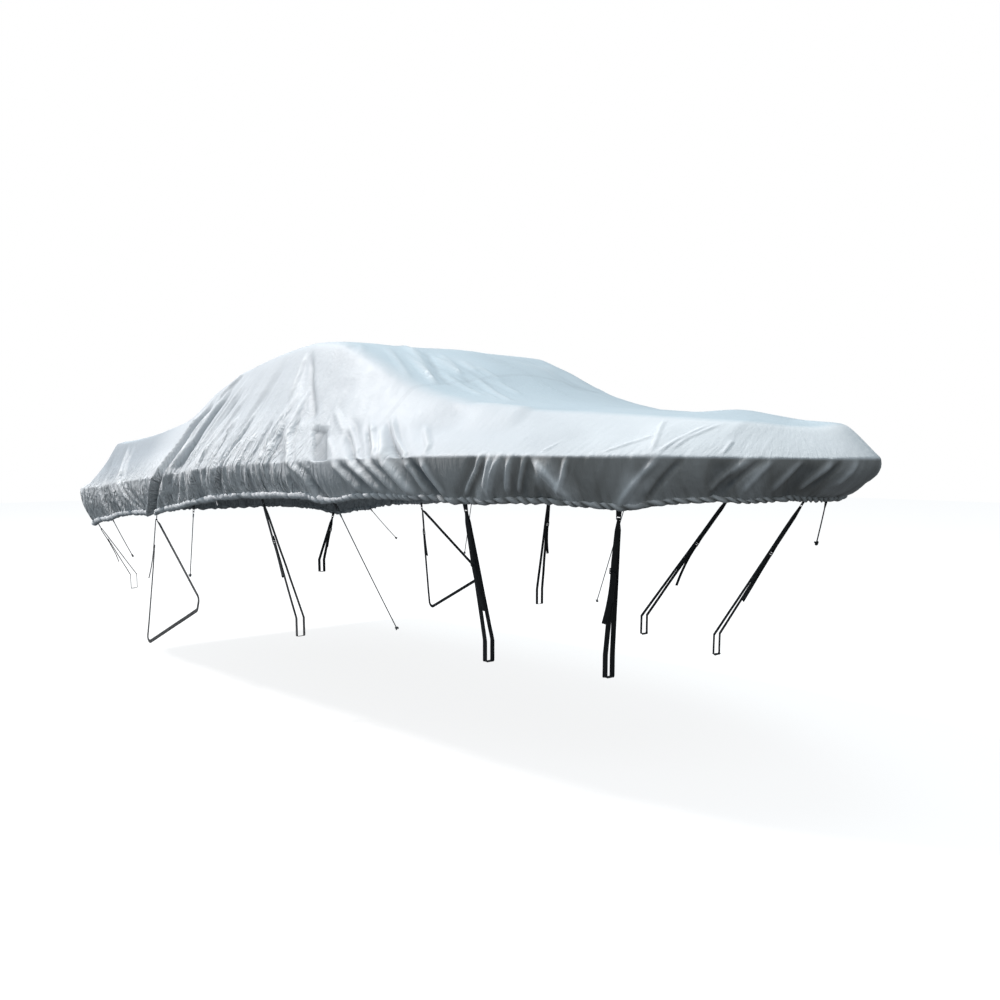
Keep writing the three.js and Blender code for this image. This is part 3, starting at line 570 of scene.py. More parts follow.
# long shallow folds that run fore and aft over the slope ahead of the windshield
topFolds = [
    (26, 6, [(120, 2.6), (500, 2.4), (898, 2.19)]), (20, 5, [(539, 2.52), (846, 2.48)]),
    (20, -4.5, [(560, 2.44), (900, 2.38)]), (22, 6, [(700, 2.42), (891, 2.36), (1232, 2.28)]),
    (18, -4, [(620, 2.6), (900, 2.58), (1050, 2.56)]), (20, 5.5, [(748, 2.69), (961, 2.7)]),
    (22, 6, [(850, 2.55), (1034, 2.49), (1359, 2.33)]),
    (24, 5, [(300, 2.3), (620, 2.15), (820, 2.05)]),
    (20, 5, [(420, 2.36), (700, 2.27), (960, 2.14)]),
    (20, -5, [(400, 2.56), (760, 2.34), (980, 2.26)]), (20, 5, [(950, 2.66), (1200, 2.6)]),
    (26, 4, [(240, 2.14), (320, 2.08), (400, 2.02)]),
    (18, 4.5, [(480, 2.62), (700, 2.53), (860, 2.46)]),
    (18, 4.5, [(560, 2.31), (760, 2.24), (900, 2.2)]), (18, 4.5, [(640, 2.66), (820, 2.63)]),
    (18, -4, [(760, 2.5), (980, 2.43), (1150, 2.38)]),
    (18, 4.5, [(900, 2.45), (1100, 2.38), (1280, 2.3)]), (18, 4, [(330, 2.5), (520, 2.44)]),
]

# pleats and gathers: how strong on the skirt and on the slope, and how they lean, along the boat
pleats = {
    "x": [-3100, -2800, -2300, -1900, -1600, -1370, -900, -600, 0, 250, 500, 800, 1000, 1300,
          1700, 2000, 2500, 3025],
    "skirt": [9, 13, 14, 13, 17, 20, 19, 14, 14, 17, 13, 6, 5, 5, 5, 5, 4, 4],
    "slope": [4, 5, 4, 3.5, 3.5, 7, 7.5, 5, 4, 5, 5, 3, 1.6, 2, 0.7, 0.6, 0.9, 0.7],
    "lean": [0, -60, -190, -200, 60, 230, 120, 100, 60, -60, -250, -280, -280, -260, 120, 150,
             80, 20],
    "gather": [12, 13, 13, 13, 14, 14, 14, 14, 13, 13, 12, 9, 8, 8, 8, 8, 7, 7],
}
wrinkles = {
    "spacing": {-1: 52, 1: 74},                            # between gathers, starboard and port
    "wander": [(210, 1.1, 5), (67, 0.4, 9)],               # reach, share, noise seed
    "ribs": [(95, 620, 0.5, 21), (43, 260, 0.42, 33)],     # reach along and down, share, seed
    "ribSize": {-1: 1, 1: 1.7}, "leanUpTo": 2.3, "skirtFade": 0.35, "slopeEnd": 2.45,
    "slopeFade": 1.25, "puffPower": 0.7, "puffMean": 0.55, "gatherDown": 75, "noiseShift": 40,
    "patch": {"x": 330, "y": 270, "height": 4.5, "seed": 41},
    "dent": {"x": 120, "yz": 110, "height": 2.2, "topLoss": 0.4, "seed": 43},
}
creaseShape = {"height": 1.9, "power": 1.7, "stern": -3085, "bow": 3015, "steps": 5,
               "taper": 1.8, "tip": 0.03, "hemLevel": 0.3}
# the port side has its own folds, drawn a little aside, wider and lower, some turned in
portCreases = {"aside": 90, "turn": 2.3, "wider": 1.6, "lower": 0.6, "turnedIn": -0.3, "every": 3}


def gatherPhase(at, side):
    wander = sum(softNoise(at / reach, at * 0, seed + side) * share
                 for reach, share, seed in wrinkles["wander"])
    return at / wrinkles["spacing"][side] + wander


def puffAt(at, side, power):
    return np.abs(np.sin(np.pi * gatherPhase(at, side))) ** power


def fineLift(points, at, level, hang, side):
    x = railAt(at)["x"]
    skirt, slope, lean, gather = (np.interp(x, pleats["x"], pleats[row])
                                  for row in ("skirt", "slope", "lean", "gather"))
    leaned = at - lean * np.minimum(level, wrinkles["leanUpTo"])
    size = wrinkles["ribSize"][side]
    ribs = 0
    for reach, down, share, seed in wrinkles["ribs"]:
        noise = softNoise(leaned / (reach * size), hang / down, seed + side)
        ribs = ribs + (1 - 2 * np.abs(noise)) * share
    low = np.where(level < 1, 1 - wrinkles["skirtFade"] * level, 0)
    high = np.where(level < 1, 0,
                    np.clip((wrinkles["slopeEnd"] - level) / wrinkles["slopeFade"], 0, 1))
    lift = ribs * (skirt * low + slope * high)
    puff = puffAt(at, side, wrinkles["puffPower"]) - wrinkles["puffMean"]
    lift += gather * puff * np.exp(-hang / wrinkles["gatherDown"])
    patch, dent, shift = (wrinkles[word] for word in ("patch", "dent", "noiseShift"))
    x, y, z = np.moveaxis(points, -1, 0)
    patches = softNoise(x / patch["x"], y / patch["y"] + shift, patch["seed"])
    dents = softNoise(x / dent["x"] + shift, (y + z) / dent["yz"] + shift, dent["seed"])
    return lift + patches * patch["height"] + dents * (dent["height"] - dent["topLoss"] * level)


def creaseLift(points, side):
    lift = np.zeros(points.shape[:-1])
    for number, (width, height, path) in enumerate(fineFolds + topFolds):
        x, level = np.array(path, float).T
        if side > 0:
            own = portCreases
            x = x + own["aside"] * math.sin(number * own["turn"])
            width = width * own["wider"]
            height = height * (own["lower"] if number % own["every"] else own["turnedIn"])
        at = lengthAt(np.clip(x, creaseShape["stern"], creaseShape["bow"]))
        steps = np.linspace(0, len(x) - 1, creaseShape["steps"] * (len(x) - 1) + 1)
        knots = smoothPoint(np.interp(steps, range(len(x)), at),
                            np.interp(steps, range(len(x)), level), side)
        near = np.all((points > knots.min(0) - width) & (points < knots.max(0) + width), axis=-1)
        distance, share = nearPath(points[near], knots)
        inner = np.clip(share, creaseShape["tip"], 1 - creaseShape["tip"])
        taper = np.clip(np.sin(np.pi * inner) * creaseShape["taper"], 0, 1)
        if path[0][1] < creaseShape["hemLevel"]:
            taper = np.where(share < 0.5, 1, taper)     # a fold from the hem keeps its depth
        profile = np.maximum(0, 1 - (distance / width) ** creaseShape["power"])
        lift[near] += creaseShape["height"] * height * taper * profile ** creaseShape["power"]
    return lift


skirtTop = 0.94


# levels of the rows: the skirt, a few close ones at the rail, then the spans above it
def rowLevels(skirtRows, railLevels, *spans):
    return np.concatenate([np.linspace(0, skirtTop, skirtRows), railLevels,
                           *(np.linspace(*span) for span in spans)])


# the cloth, a fine grid for each panel: columns follow the rail and rows climb from the hem
closeRail = [0.97, 1, 1.018, 1.036]
clothGrid = {
    "starboardStep": 12.1, "foreStep": 8.2, "rowsChange": (-200, 500), "mergedPerMm": 20,
    "aftRows": rowLevels(20, closeRail, (1.055, 2, 50), (2.046, 3, 21)),
    "foreRows": rowLevels(20, closeRail, (1.06, 2, 36), (2.02, 2.74, 30), (2.79, 3, 5)),
    "portRows": rowLevels(14, [0.97, 1, 1.02, 1.05], (1.1, 2, 16), (2.08, 3, 12)),
    "roundedPasses": 2, "roundedLevels": 0.07, "rounded": 0.9, "topFade": 0.25,
    "hollowDepth": 26, "mainHollow": 0.5, "shadedFrom": 60,
}
# a flat place that lies deeper, just over the rail: its after edge (level, rail x) and its sizes
recess = {"after": [(1.0, 560), (1.34, 350)], "width": 150, "depth": 19, "low": 0.98,
          "high": 1.33, "lowEdge": 0.03, "highEdge": 0.025, "sideEdge": 0.14}


def recessLift(x, level, side):
    ahead = (x - np.interp(level, *zip(*recess["after"]))) / recess["width"]
    inside = (ahead > 0) & (ahead < 1) & (side < 0)
    within = (smoothStep((level - recess["low"]) / recess["lowEdge"])
              * smoothStep((recess["high"] - level) / recess["highEdge"]))
    edges = smoothStep(ahead / recess["sideEdge"]) * smoothStep((1 - ahead) / recess["sideEdge"])
    return np.where(inside, -recess["depth"] * edges * within, 0)


def clothColumns(start, end, count, rows, side):
    at, level = np.meshgrid(np.linspace(start, end, count + 1), rows[0], indexing="ij")
    x = railAt(at)["x"]
    low, high = clothGrid["rowsChange"]
    level = level + (rows[-1] - rows[0]) * smoothStep((x - low) / (high - low))
    smooth = smoothPoint(at, level, side)
    climbed = np.cumsum(np.linalg.norm(np.diff(smooth, axis=1), axis=2), axis=1)
    hang = np.concatenate([np.zeros((len(at), 1)), climbed], axis=1)
    main = mainLift(smooth, side)
    creases = creaseLift(smooth, side) + recessLift(x, level, side)
    pleated = fineLift(smooth, at, level, hang, side)
    topFade = smoothStep((3 - level) / clothGrid["topFade"])
    lift = (np.where(level == 3, 0, main) + creases) * topFade + pleated
    # how deep the folds lie, for the painted shade in hollows and painted highlights on tops
    hollowShade = np.clip(-(creases + pleated + clothGrid["mainHollow"] * main)
                     / clothGrid["hollowDepth"], -1, 1)
    points = smooth + outward(at, level, side) * lift[..., None]
    nearRail = np.clip(1 - np.abs(level - 1) / clothGrid["roundedLevels"], 0, 1)[..., None]
    nearRail = nearRail * clothGrid["rounded"]
    for _ in range(clothGrid["roundedPasses"]):
        mean = points.copy()
        mean[:, 1:-1] = (points[:, :-2] + 2 * points[:, 1:-1] + points[:, 2:]) / 4
        points += (mean - points) * nearRail
    return points, at, level, hang, hollowShade


def clothPanel(name, start, end, step):
    cells = 2 * int(round((end - start) / step / 2))
    starboardRows = clothGrid["aftRows"], clothGrid["foreRows"]
    grids = {-1: clothColumns(start, end, cells, starboardRows, -1),
             1: clothColumns(start, end, cells // 2, (clothGrid["portRows"],), 1)}
    points, uv, level, seam, hollowShade, known, number = [], [], [], [], [], {}, {}
    for side, (grid, at, levels, hang, hollows) in grids.items():
        number[side] = np.zeros(at.shape, int)
        for i in range(at.shape[0]):
            for k in range(at.shape[1]):
                key = tuple(np.round(grid[i, k] * clothGrid["mergedPerMm"]).astype(int).tolist())
                if key not in known:
                    known[key] = len(points)
                    points.append(grid[i, k])
                    uv.append((at[i, k], side * -hang[i, k]))
                    level.append(levels[i, k])
                    seam.append(abs(at[i, k] - seamAt) * mm)
                    hollowShade.append(hollows[i, k])
                number[side][i, k] = known[key]
    faces = []

    def face(*corners):
        kept = [c for i, c in enumerate(corners) if c != corners[i - 1]]
        if len(set(kept)) >= 3 and len(kept) == len(set(kept)):
            faces.append(tuple(kept))

    a, b = number[-1], number[1]
    for i in range(a.shape[0] - 1):
        for k in range(a.shape[1] - 1):
            face(a[i, k], a[i + 1, k], a[i + 1, k + 1], a[i, k + 1])
    last = b.shape[1] - 1
    for j in range(b.shape[0] - 1):
        ridge = a[2 * j, -1], a[2 * j + 1, -1], a[2 * j + 2, -1]
        face(b[j, last - 1], ridge[0], ridge[1])
        face(b[j, last - 1], ridge[1], b[j + 1, last - 1])
        face(ridge[1], ridge[2], b[j + 1, last - 1])
        for k in range(last - 1):
            face(b[j, k], b[j, k + 1], b[j + 1, k + 1], b[j + 1, k])
    piece = meshPiece(name, points, faces, uv, {"level": level, "seam": seam, "hollowShade": hollowShade})
    addModifier(piece, "SOLIDIFY", thickness=drape["thickness"] * mm, offset=-1)
    shadeFrom(clothGrid["shadedFrom"])
    print(name, len(piece.data.polygons), "faces")
    return piece


coverAft = clothPanel("cloth_aft", 0, seamAt, clothGrid["starboardStep"])
coverFore = clothPanel("cloth_fore", seamAt, railLength, clothGrid["foreStep"])


# the hem: a casing that a drawn cord gathers into small puffs
hemShape = {
    "high": 21, "deep": 15, "step": 5.5, "portStep": 1.6, "sides": 12, "up": 19, "proud": 13,
    "lean": 16, "above": 0.12, "outAt": 0.05, "fullGather": 13, "puffPower": 0.85,
    "pinch": (17, 61), "swell": (24, 64),                  # reach and noise seed
    "deepParts": (0.38, 0.75, 0.3), "highParts": (0.66, 0.3, 0.2), "leastHigh": 0.55,
    "upPinch": 3, "proudLeast": 0.3, "aroundUv": 12,
    "cleanFrom": 1500, "cleanOver": 900, "clean": 1.5, "dark": (0.65, 2.1), "tone": (0.3, 0.47),
}


def hemPiece(name, start, end, side):
    step = hemShape["step"] * (1 if side < 0 else hemShape["portStep"])
    at = np.linspace(start, end, int((end - start) / step))
    zero = at * 0
    place = foldedPoint(at, zero, side)
    upward = unit(foldedPoint(at, zero + hemShape["above"], side) - place)
    out = outward(at, zero + hemShape["outAt"], side)
    x = railAt(at)["x"]
    gather = (np.interp(x, pleats["x"], pleats["gather"]) / hemShape["fullGather"])[:, None]
    angle = np.arange(hemShape["sides"]) * 2 * np.pi / hemShape["sides"] * -side
    leaned = at[:, None] + hemShape["lean"] * np.sin(angle)[None, :]
    puff = puffAt(leaned, side, hemShape["puffPower"])
    pinch, swell = (softNoise(leaned / reach, leaned * 0, seed + side)
                    for reach, seed in (hemShape["pinch"], hemShape["swell"]))
    least, puffed, pinched = hemShape["deepParts"]
    deep = hemShape["deep"] * (least + (puffed * puff + pinched * pinch) * gather)
    least, puffed, swollen = hemShape["highParts"]
    high = (hemShape["high"] * (hemShape["leastHigh"] + (1 - hemShape["leastHigh"]) * gather)
            * (least + puffed * puff + swollen * swell))
    raised = hemShape["up"] + hemShape["upPinch"] * pinch
    proud = hemShape["proud"] * (hemShape["proudLeast"] + puff) * gather
    ring = (place[:, None] + upward[:, None] * raised[..., None] + out[:, None] * proud[..., None]
            + np.sin(angle)[None, :, None] * upward[:, None] * high[..., None]
            + np.cos(angle)[None, :, None] * out[:, None] * deep[..., None])
    # the aft hem is painted lighter on top and carries less soil, the fore one keeps the skirt's
    # soil and painted shade; the pinches get painted shade and the puffs painted highlights
    clean = (hemShape["clean"] * smoothStep((hemShape["cleanFrom"] - x) / hemShape["cleanOver"])
             )[:, None] + puff * 0
    dark, pale = hemShape["dark"]
    tone, cleanTone = hemShape["tone"]
    return sweptPiece(name, ring, at, np.abs(angle) * hemShape["aroundUv"],
                      {"level": clean, "seam": clean * 0 + 1,
                       "hollowShade": (dark - pale * puff) * (tone + cleanTone * clean)})


hems = []
for word, side in sides:
    hems.append(hemPiece(f"hem_aft_{word}", 0, seamAt, side))
    hems.append(hemPiece(f"hem_fore_{word}", seamAt, railLength, side))
enter(coverAft, "cloth", "cover_aft")
enter(coverFore, "cloth", "cover_fore")
for hem in hems:
    enter(hem, "cloth")
print("cloth and hem made")


# straps of woven webbing, pinched where they go through an eye
strapShape = {
    "width": 25, "thickness": 1.6, "pinchWidth": 12, "pinchThickness": 3, "pinchLength": 60,
    "step": 11, "beamHalf": 25, "beamHigh": 55, "beamTurn": (6, 4), "groundTurn": (36, 8),
    "tuckedEnd": (-2.9, 34), "leaving": (2.4, 50), "tailSteps": 8, "tailOut": 16,
    "looseEnds": 60, "wave": (120, 1.1), "cup": (90, 0.8), "bent": 0.6,
    "section": [(-1, 0), (-0.93, -1), (-0.4, -1), (0.4, -1), (0.93, -1), (1, 0), (0.93, 1),
                (0.4, 1), (-0.4, 1), (-0.93, 1)],
}
eyeTurn = [(4.4, -9), (4.2, -2), (3, 1.6), (0, 3.2), (-3, 1.6), (-4.2, -2), (-4.4, -9)]
slotTurn = [(-3.2, 12), (-2.6, 8), (0, 7), (2.6, 8), (3.2, 12)]


def roundedCorner(before, corner, after, radius, steps):
    back, on = unit(before - corner), unit(after - corner)
    half = math.acos(float(np.clip(back @ on, -1, 1))) / 2
    centre = unit(back + on) * radius / math.sin(half)
    cut = radius / math.tan(half)
    start, end = back * cut - centre, on * cut - centre
    swept = math.pi - 2 * half
    return [corner + centre + start * math.sin((1 - k / steps) * swept) / math.sin(swept)
            + end * math.sin(k / steps * swept) / math.sin(swept) for k in range(steps + 1)]


def footCorners(tie, foot, side):
    if "corners" in tie:
        return [np.array(c, float) * (1, side, 1) for c in tie["corners"]] + [foot]
    half, high = strapShape["beamHalf"], strapShape["beamHigh"]
    rims = [(-half, high), (-half, -high), (half, -high), (half, high)]
    return [foot + (0, side * out, up) for out, up in rims]


def buckleCentre(tie, hangFrame, corners):
    top = hangFrame.at(0, hanging["tabThickness"], hanging["eyeBar"] - hanging["tabLength"])
    return top + (corners[-1] - top) * tie["share"]


def strapStops(tie, side, hangFrame, foot):
    corners = footCorners(tie, foot, side)
    centre = buckleCentre(tie, hangFrame, corners)
    onAxle = "corners" in tie
    wide = (strapShape["width"], strapShape["thickness"])
    pinched = (strapShape["pinchWidth"], strapShape["pinchThickness"])

    def level(tangent):
        return hangFrame.x

    def turned(tangent):
        return -hangFrame.x if onAxle else hangFrame.x

    def inPlane(tangent):
        return np.cross((0, -1, 0), tangent)

    def onBuckle(out, up, aside=0):
        return centre + hangFrame.x * aside + hangFrame.y * out + hangFrame.z * up

    bar = hanging["eyeBar"] - hanging["tabLength"]
    flat = inPlane if onAxle else level
    atSlot = [strapShape["tuckedEnd"], *slotTurn, strapShape["leaving"]]
    stops = [(onBuckle(out, up), wide, level) for out, up in atSlot]
    stops.append((hangFrame.at(0, eyeTurn[0][0], bar - strapShape["pinchLength"]), wide, level))
    stops += [(hangFrame.at(0, out, bar + up), pinched, level) for out, up in eyeTurn]
    innerTop = hangFrame.at(0, -eyeTurn[0][0], bar)
    innerTop = innerTop + unit(corners[0] - innerTop) * strapShape["pinchLength"]
    stops.append((innerTop, wide, flat))
    slotOut, slotUp = slotTurn[0]
    path = [innerTop, *corners, onBuckle(slotOut, -slotUp)]
    turn = strapShape["groundTurn"] if onAxle else strapShape["beamTurn"]
    for i in range(1, len(path) - 1):
        stops += [(point, wide, flat) for point in roundedCorner(*path[i - 1:i + 2], *turn)]
    stops += [(onBuckle(out, -up), wide, turned) for out, up in slotTurn]
    for k in range(1, strapShape["tailSteps"] + 1):
        share = k / strapShape["tailSteps"]
        stops.append((onBuckle(strapShape["tailOut"] * share ** 2 - slotOut,
                               -slotUp - tie["tail"] * share, tie["splay"] * share ** 2),
                      wide, turned))
    return stops, centre


def strapPiece(name, stops):
    points = np.array([stop[0] for stop in stops])
    sideways, square = [], []
    for i, (_, _, across) in enumerate(stops):
        tangent = unit(points[min(i + 1, len(points) - 1)] - points[max(i - 1, 0)])
        aside = np.array(across(tangent), float)
        aside = unit(aside - aside.dot(tangent) * tangent)
        sideways.append(aside)
        square.append(np.cross(tangent, aside))
    sizes = np.array([stop[1] for stop in stops], float)
    along = lengthsAlong(points)
    fine = [np.linspace(a, b, max(2, int((b - a) / strapShape["step"]) + 1))[:-1]
            for a, b in zip(along[:-1], along[1:])]
    fine = np.concatenate([*fine, [along[-1]]])

    def blended(values):
        values = np.array(values)
        return np.stack([np.interp(fine, along, column) for column in values.T], axis=1)

    centre, aside, out, size = (blended(v) for v in (points, sideways, square, sizes))
    aside, out = unit(aside), unit(out)
    loose = np.clip(np.minimum(fine, fine[-1] - fine) / strapShape["looseEnds"], 0, 1)
    (waveReach, waveSize), (cupReach, cupSize) = strapShape["wave"], strapShape["cup"]
    wave = softNoise(fine / waveReach, fine * 0, len(name)) * waveSize * loose
    cup = softNoise(fine / cupReach, fine * 0 + 3, len(name)) * cupSize
    across, through = np.array(strapShape["section"]).T
    bent = (wave[:, None] + cup[:, None] * (across ** 2)[None, :]) * strapShape["bent"]
    ring = (centre[:, None] + (across / 2)[None, :, None] * (aside * size[:, :1])[:, None]
            + ((through / 2)[None, :] * size[:, 1:] + bent)[..., None] * out[:, None])
    return sweptPiece(name, ring, fine, across * strapShape["width"] / 2)


# one ladder buckle of moulded plastic, modelled flat at the origin and copied to each strap
buckleShape = {"width": 36, "height": 32, "thickness": 3.4, "slotWidth": 27.2, "slotHeight": 5.4,
               "slotAt": 7.5, "flatFrom": 0.9, "bevel": 0.7, "bevelFrom": 40, "shadedFrom": 35}


def modelBuckle():
    size = buckleShape
    selectNone()
    bpy.ops.mesh.primitive_cube_add(size=1, scale=(size["width"] * mm, size["thickness"] * mm,
                                                   size["height"] * mm))
    bpy.ops.object.transform_apply(location=False, rotation=False, scale=True)
    piece = bpy.context.active_object
    halfSlot, high = size["slotWidth"] / 2 * mm, size["slotHeight"] / 2 * mm
    cuts = [((x, 0, 0), (1, 0, 0)) for x in (-halfSlot, halfSlot)]
    cuts += [((0, 0, centre * size["slotAt"] * mm + edge), (0, 0, 1))
             for centre in (-1, 1) for edge in (-high, high)]
    bpy.ops.object.mode_set(mode="EDIT")
    for place, normal in cuts:
        bpy.ops.mesh.select_all(action="SELECT")
        bpy.ops.mesh.bisect(plane_co=place, plane_no=normal)
    for centre in (-1, 1):
        bpy.ops.mesh.select_all(action="DESELECT")
        doneEditing()
        for polygon in piece.data.polygons:
            c, slotZ = polygon.center, centre * size["slotAt"] * mm
            polygon.select = (abs(c.x) < halfSlot and abs(c.z - slotZ) < high
                              and abs(polygon.normal.y) > size["flatFrom"])
        bpy.ops.object.mode_set(mode="EDIT")
        bpy.ops.mesh.select_mode(type="FACE")
        bpy.ops.mesh.bridge_edge_loops()
    bpy.ops.mesh.select_all(action="SELECT")
    bpy.ops.mesh.normals_make_consistent(inside=False)
    doneEditing()
    roundEdges(piece, size["bevel"], size["bevelFrom"])
    shadeFrom(size["shadedFrom"])
    return piece


# the hook is modelled at the bar of an eye, and hangs from there
def modelHook():
    size = {key: hookShape[key] * mm for key in ("wire", "bend", "shank", "barrel", "tip")}
    long, start = hookShape["barrelLength"] * mm, hookShape["start"] * mm
    selectNone()
    bpy.ops.mesh.primitive_circle_add(vertices=hookShape["wireSides"], radius=size["wire"],
                                      fill_type="NGON",
                                      location=(0, size["bend"], -size["tip"]))
    bpy.ops.object.transform_apply(location=True, rotation=False, scale=False)
    piece = bpy.context.active_object

    def drawOut(aside, up):
        bpy.ops.mesh.extrude_region_move(TRANSFORM_OT_translate={"value": (0, aside, up)})

    editAll()
    drawOut(0, size["tip"] - start)
    bpy.ops.mesh.spin(steps=hookShape["bendSteps"], angle=math.pi, center=(0, 0, -start),
                      axis=(1, 0, 0))
    # straight down the shank, to the middle where the barrel is
    drawOut(size["bend"] * hookShape["crook"], -size["tip"])
    drawOut(size["bend"] * (1 - hookShape["crook"]), -size["shank"] + size["tip"])
    bpy.ops.mesh.select_all(action="SELECT")
    bpy.ops.mesh.remove_doubles(threshold=hookShape["merged"] * mm)
    bpy.ops.mesh.normals_make_consistent(inside=False)
    doneEditing()
    selectNone()
    bpy.ops.mesh.primitive_cylinder_add(vertices=hookShape["barrelSides"],
                                        radius=size["barrel"], depth=long,
                                        location=(0, 0, -size["shank"] - long / 2))
    bpy.ops.object.transform_apply(location=True, rotation=False, scale=False)
    barrel = bpy.context.active_object
    bpy.ops.object.mode_set(mode="EDIT")
    for edge in sum(hookShape["grooves"], ()):
        bpy.ops.mesh.select_all(action="SELECT")
        bpy.ops.mesh.bisect(plane_co=(0, 0, -size["shank"] - edge * mm), plane_no=(0, 0, 1))
    doneEditing()
    near = hookShape["nearGroove"]
    for vertex in barrel.data.vertices:
        down = (-vertex.co.z - size["shank"]) / mm
        if any(low - near < down < high + near for low, high in hookShape["grooves"]):
            vertex.co.x *= hookShape["groove"]
            vertex.co.y *= hookShape["groove"]
    roundEdges(barrel, hookShape["bevel"], hookShape["bevelFrom"])
    onlyActive(piece)
    barrel.select_set(True)
    bpy.ops.object.join()
    shadeFrom(hookShape["shadedFrom"])
    return piece


def placedCopy(model, name, centre, hangFrame):
    mesh = model.data.copy()
    depth = np.cross(hangFrame.z, hangFrame.x)
    turn = np.stack([hangFrame.x, depth, hangFrame.z], axis=1)
    mesh.transform(Matrix([[*row, place] for row, place in zip(turn, centre * mm)]
                          + [[0, 0, 0, 1]]))
    mesh.name = name
    piece = bpy.data.objects.new(name, mesh)
    scene.collection.objects.link(piece)
    return piece


# sewn tabs of webbing: merged copies of the solids, with soft edges
tabShape = {"merged": 0.02, "flatTo": 2, "bevel": 0.55, "bevelFrom": 40, "shadedFrom": 35}


def tabPiece(node, name):
    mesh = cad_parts[node].data.copy()
    mesh.materials.clear()
    piece = bpy.data.objects.new(name, mesh)
    scene.collection.objects.link(piece)
    onlyActive(piece)
    editAll()
    bpy.ops.mesh.remove_doubles(threshold=tabShape["merged"] * mm)
    bpy.ops.mesh.dissolve_limited(angle_limit=math.radians(tabShape["flatTo"]))
    doneEditing()
    roundEdges(piece, tabShape["bevel"], tabShape["bevelFrom"])
    shadeFrom(tabShape["shadedFrom"])
    return piece


buckleModel, hookModel = modelBuckle(), modelHook()
for tie in ties:
    for word, side in sides:
        hangFrame, foot = frames[tie["name"], word]
        label = f"{tie['name']}_{word}"
        enter(tabPiece(f"tab_{label}", f"sewn_tab_{label}"), "webbing", f"tab_{label}", "tab")
        if tie.get("kind") == "hook":
            eye = hangFrame.at(0, 0, hanging["eyeBar"] - hanging["tabLength"])
            hook = placedCopy(hookModel, f"wire_hook_{label}", eye, hangFrame)
            enter(hook, "hook", f"hook_{label}")
        if "kind" not in tie:
            stops, centre = strapStops(tie, side, hangFrame, foot)
            enter(strapPiece(f"woven_strap_{label}", stops), "webbing", f"strap_{label}")
            buckle = placedCopy(buckleModel, f"ladder_buckle_{label}", centre, hangFrame)
            enter(buckle, "buckle", f"buckle_{label}")
enter(tabPiece("tab_stem", "sewn_tab_stem"), "webbing", "tab_stem", "tab")
for model in (buckleModel, hookModel):
    bpy.data.objects.remove(model)

# each cord is tied to its tab or to the barrel of its hook, and knotted at its foot
print("tabs, straps, buckles and hooks made;", len(pieces), "pieces in all")


# finishes: node materials, read from UV maps, attributes and object coordinates
class Nodes:
    def __init__(self, tree):
        self.tree = tree

    def give(self, socket, value):
        if isinstance(value, bpy.types.NodeSocket):
            self.tree.links.new(value, socket)
        else:
            socket.default_value = value

    def node(self, kind, inputs=None, **settings):
        made = self.tree.nodes.new("ShaderNode" + kind)
        for setting, value in settings.items():
            setattr(made, setting, value)
        for socket, value in (inputs or {}).items():
            self.give(made.inputs[socket], value)
        return made

    def math(self, operation, *values, clamp=False):
        return self.node("Math", dict(enumerate(values)), operation=operation,
                         use_clamp=clamp).outputs[0]

    def times(self, a, b, clamp=False):
        return self.math("MULTIPLY", a, b, clamp=clamp)

    def plus(self, a, b, clamp=False):
        return self.math("ADD", a, b, clamp=clamp)

    def less(self, a, b, clamp=False):
        return self.math("SUBTRACT", a, b, clamp=clamp)

    def fade(self, value, start, end, low=0.0, high=1.0, shape="LINEAR"):
        return self.node("MapRange", {0: value, 1: start, 2: end, 3: low, 4: high},
                         interpolation_type=shape).outputs[0]

    def ramp(self, factor, stops):
        made = self.node("ValToRGB", {0: factor})
        elements = made.color_ramp.elements
        while len(elements) < len(stops):
            elements.new(0.5)
        for element, (place, colour) in zip(elements, stops):
            element.position = place
            element.color = (*colour, 1)
        return made.outputs[0]

    def mix(self, factor, a, b):
        colours = {socket: colour if isinstance(colour, bpy.types.NodeSocket) else (*colour, 1)
                   for socket, colour in ((6, a), (7, b))}
        return self.node("Mix", {0: factor, **colours}, data_type="RGBA").outputs[2]

    def noise(self, vector, scale, detail=3.0, rough=0.5, **more):
        return self.node("TexNoise", {"Vector": vector, "Scale": scale, "Detail": detail,
                                      "Roughness": rough, **more}).outputs[0]

    # thin crooked lines where a noise passes its middle
    def creased(self, noise, narrow):
        away = self.math("ABSOLUTE", self.less(noise, 0.5))
        return self.less(1.0, self.times(away, narrow, True))

    # the part of a noise above a floor, made stronger
    def spots(self, noise, floor, gain):
        return self.times(self.less(noise, floor, True), gain, True)

    def wave(self, vector, scale, direction, distortion=0.0):
        return self.node("TexWave", {"Vector": vector, "Scale": scale, "Distortion": distortion},
                         bands_direction=direction).outputs[1]

    def stretched(self, vector, scale):
        return self.node("Mapping", {"Vector": vector, "Scale": scale}).outputs[0]

    def pieceUv(self):
        return self.node("UVMap", uv_map="cloth").outputs[0]

    def place(self):
        return self.node("TexCoord").outputs["Object"]

    def attribute(self, name):
        return self.node("Attribute", attribute_name=name).outputs["Fac"]

    def bump(self, height, distance, strength=1.0, under=None):
        inputs = {"Height": height, "Distance": distance, "Strength": strength}
        if under is not None:
            inputs["Normal"] = under
        return self.node("Bump", inputs).outputs[0]


class Finish(Nodes):
    def __init__(self, name, **sockets):
        self.material = bpy.data.materials.new(name)
        self.material.use_nodes = True
        super().__init__(self.material.node_tree)
        self.surface = self.tree.nodes["Principled BSDF"]
        self.set(sockets)

    def set(self, sockets):
        for socket, value in sockets.items():
            self.give(self.surface.inputs[socket], value)


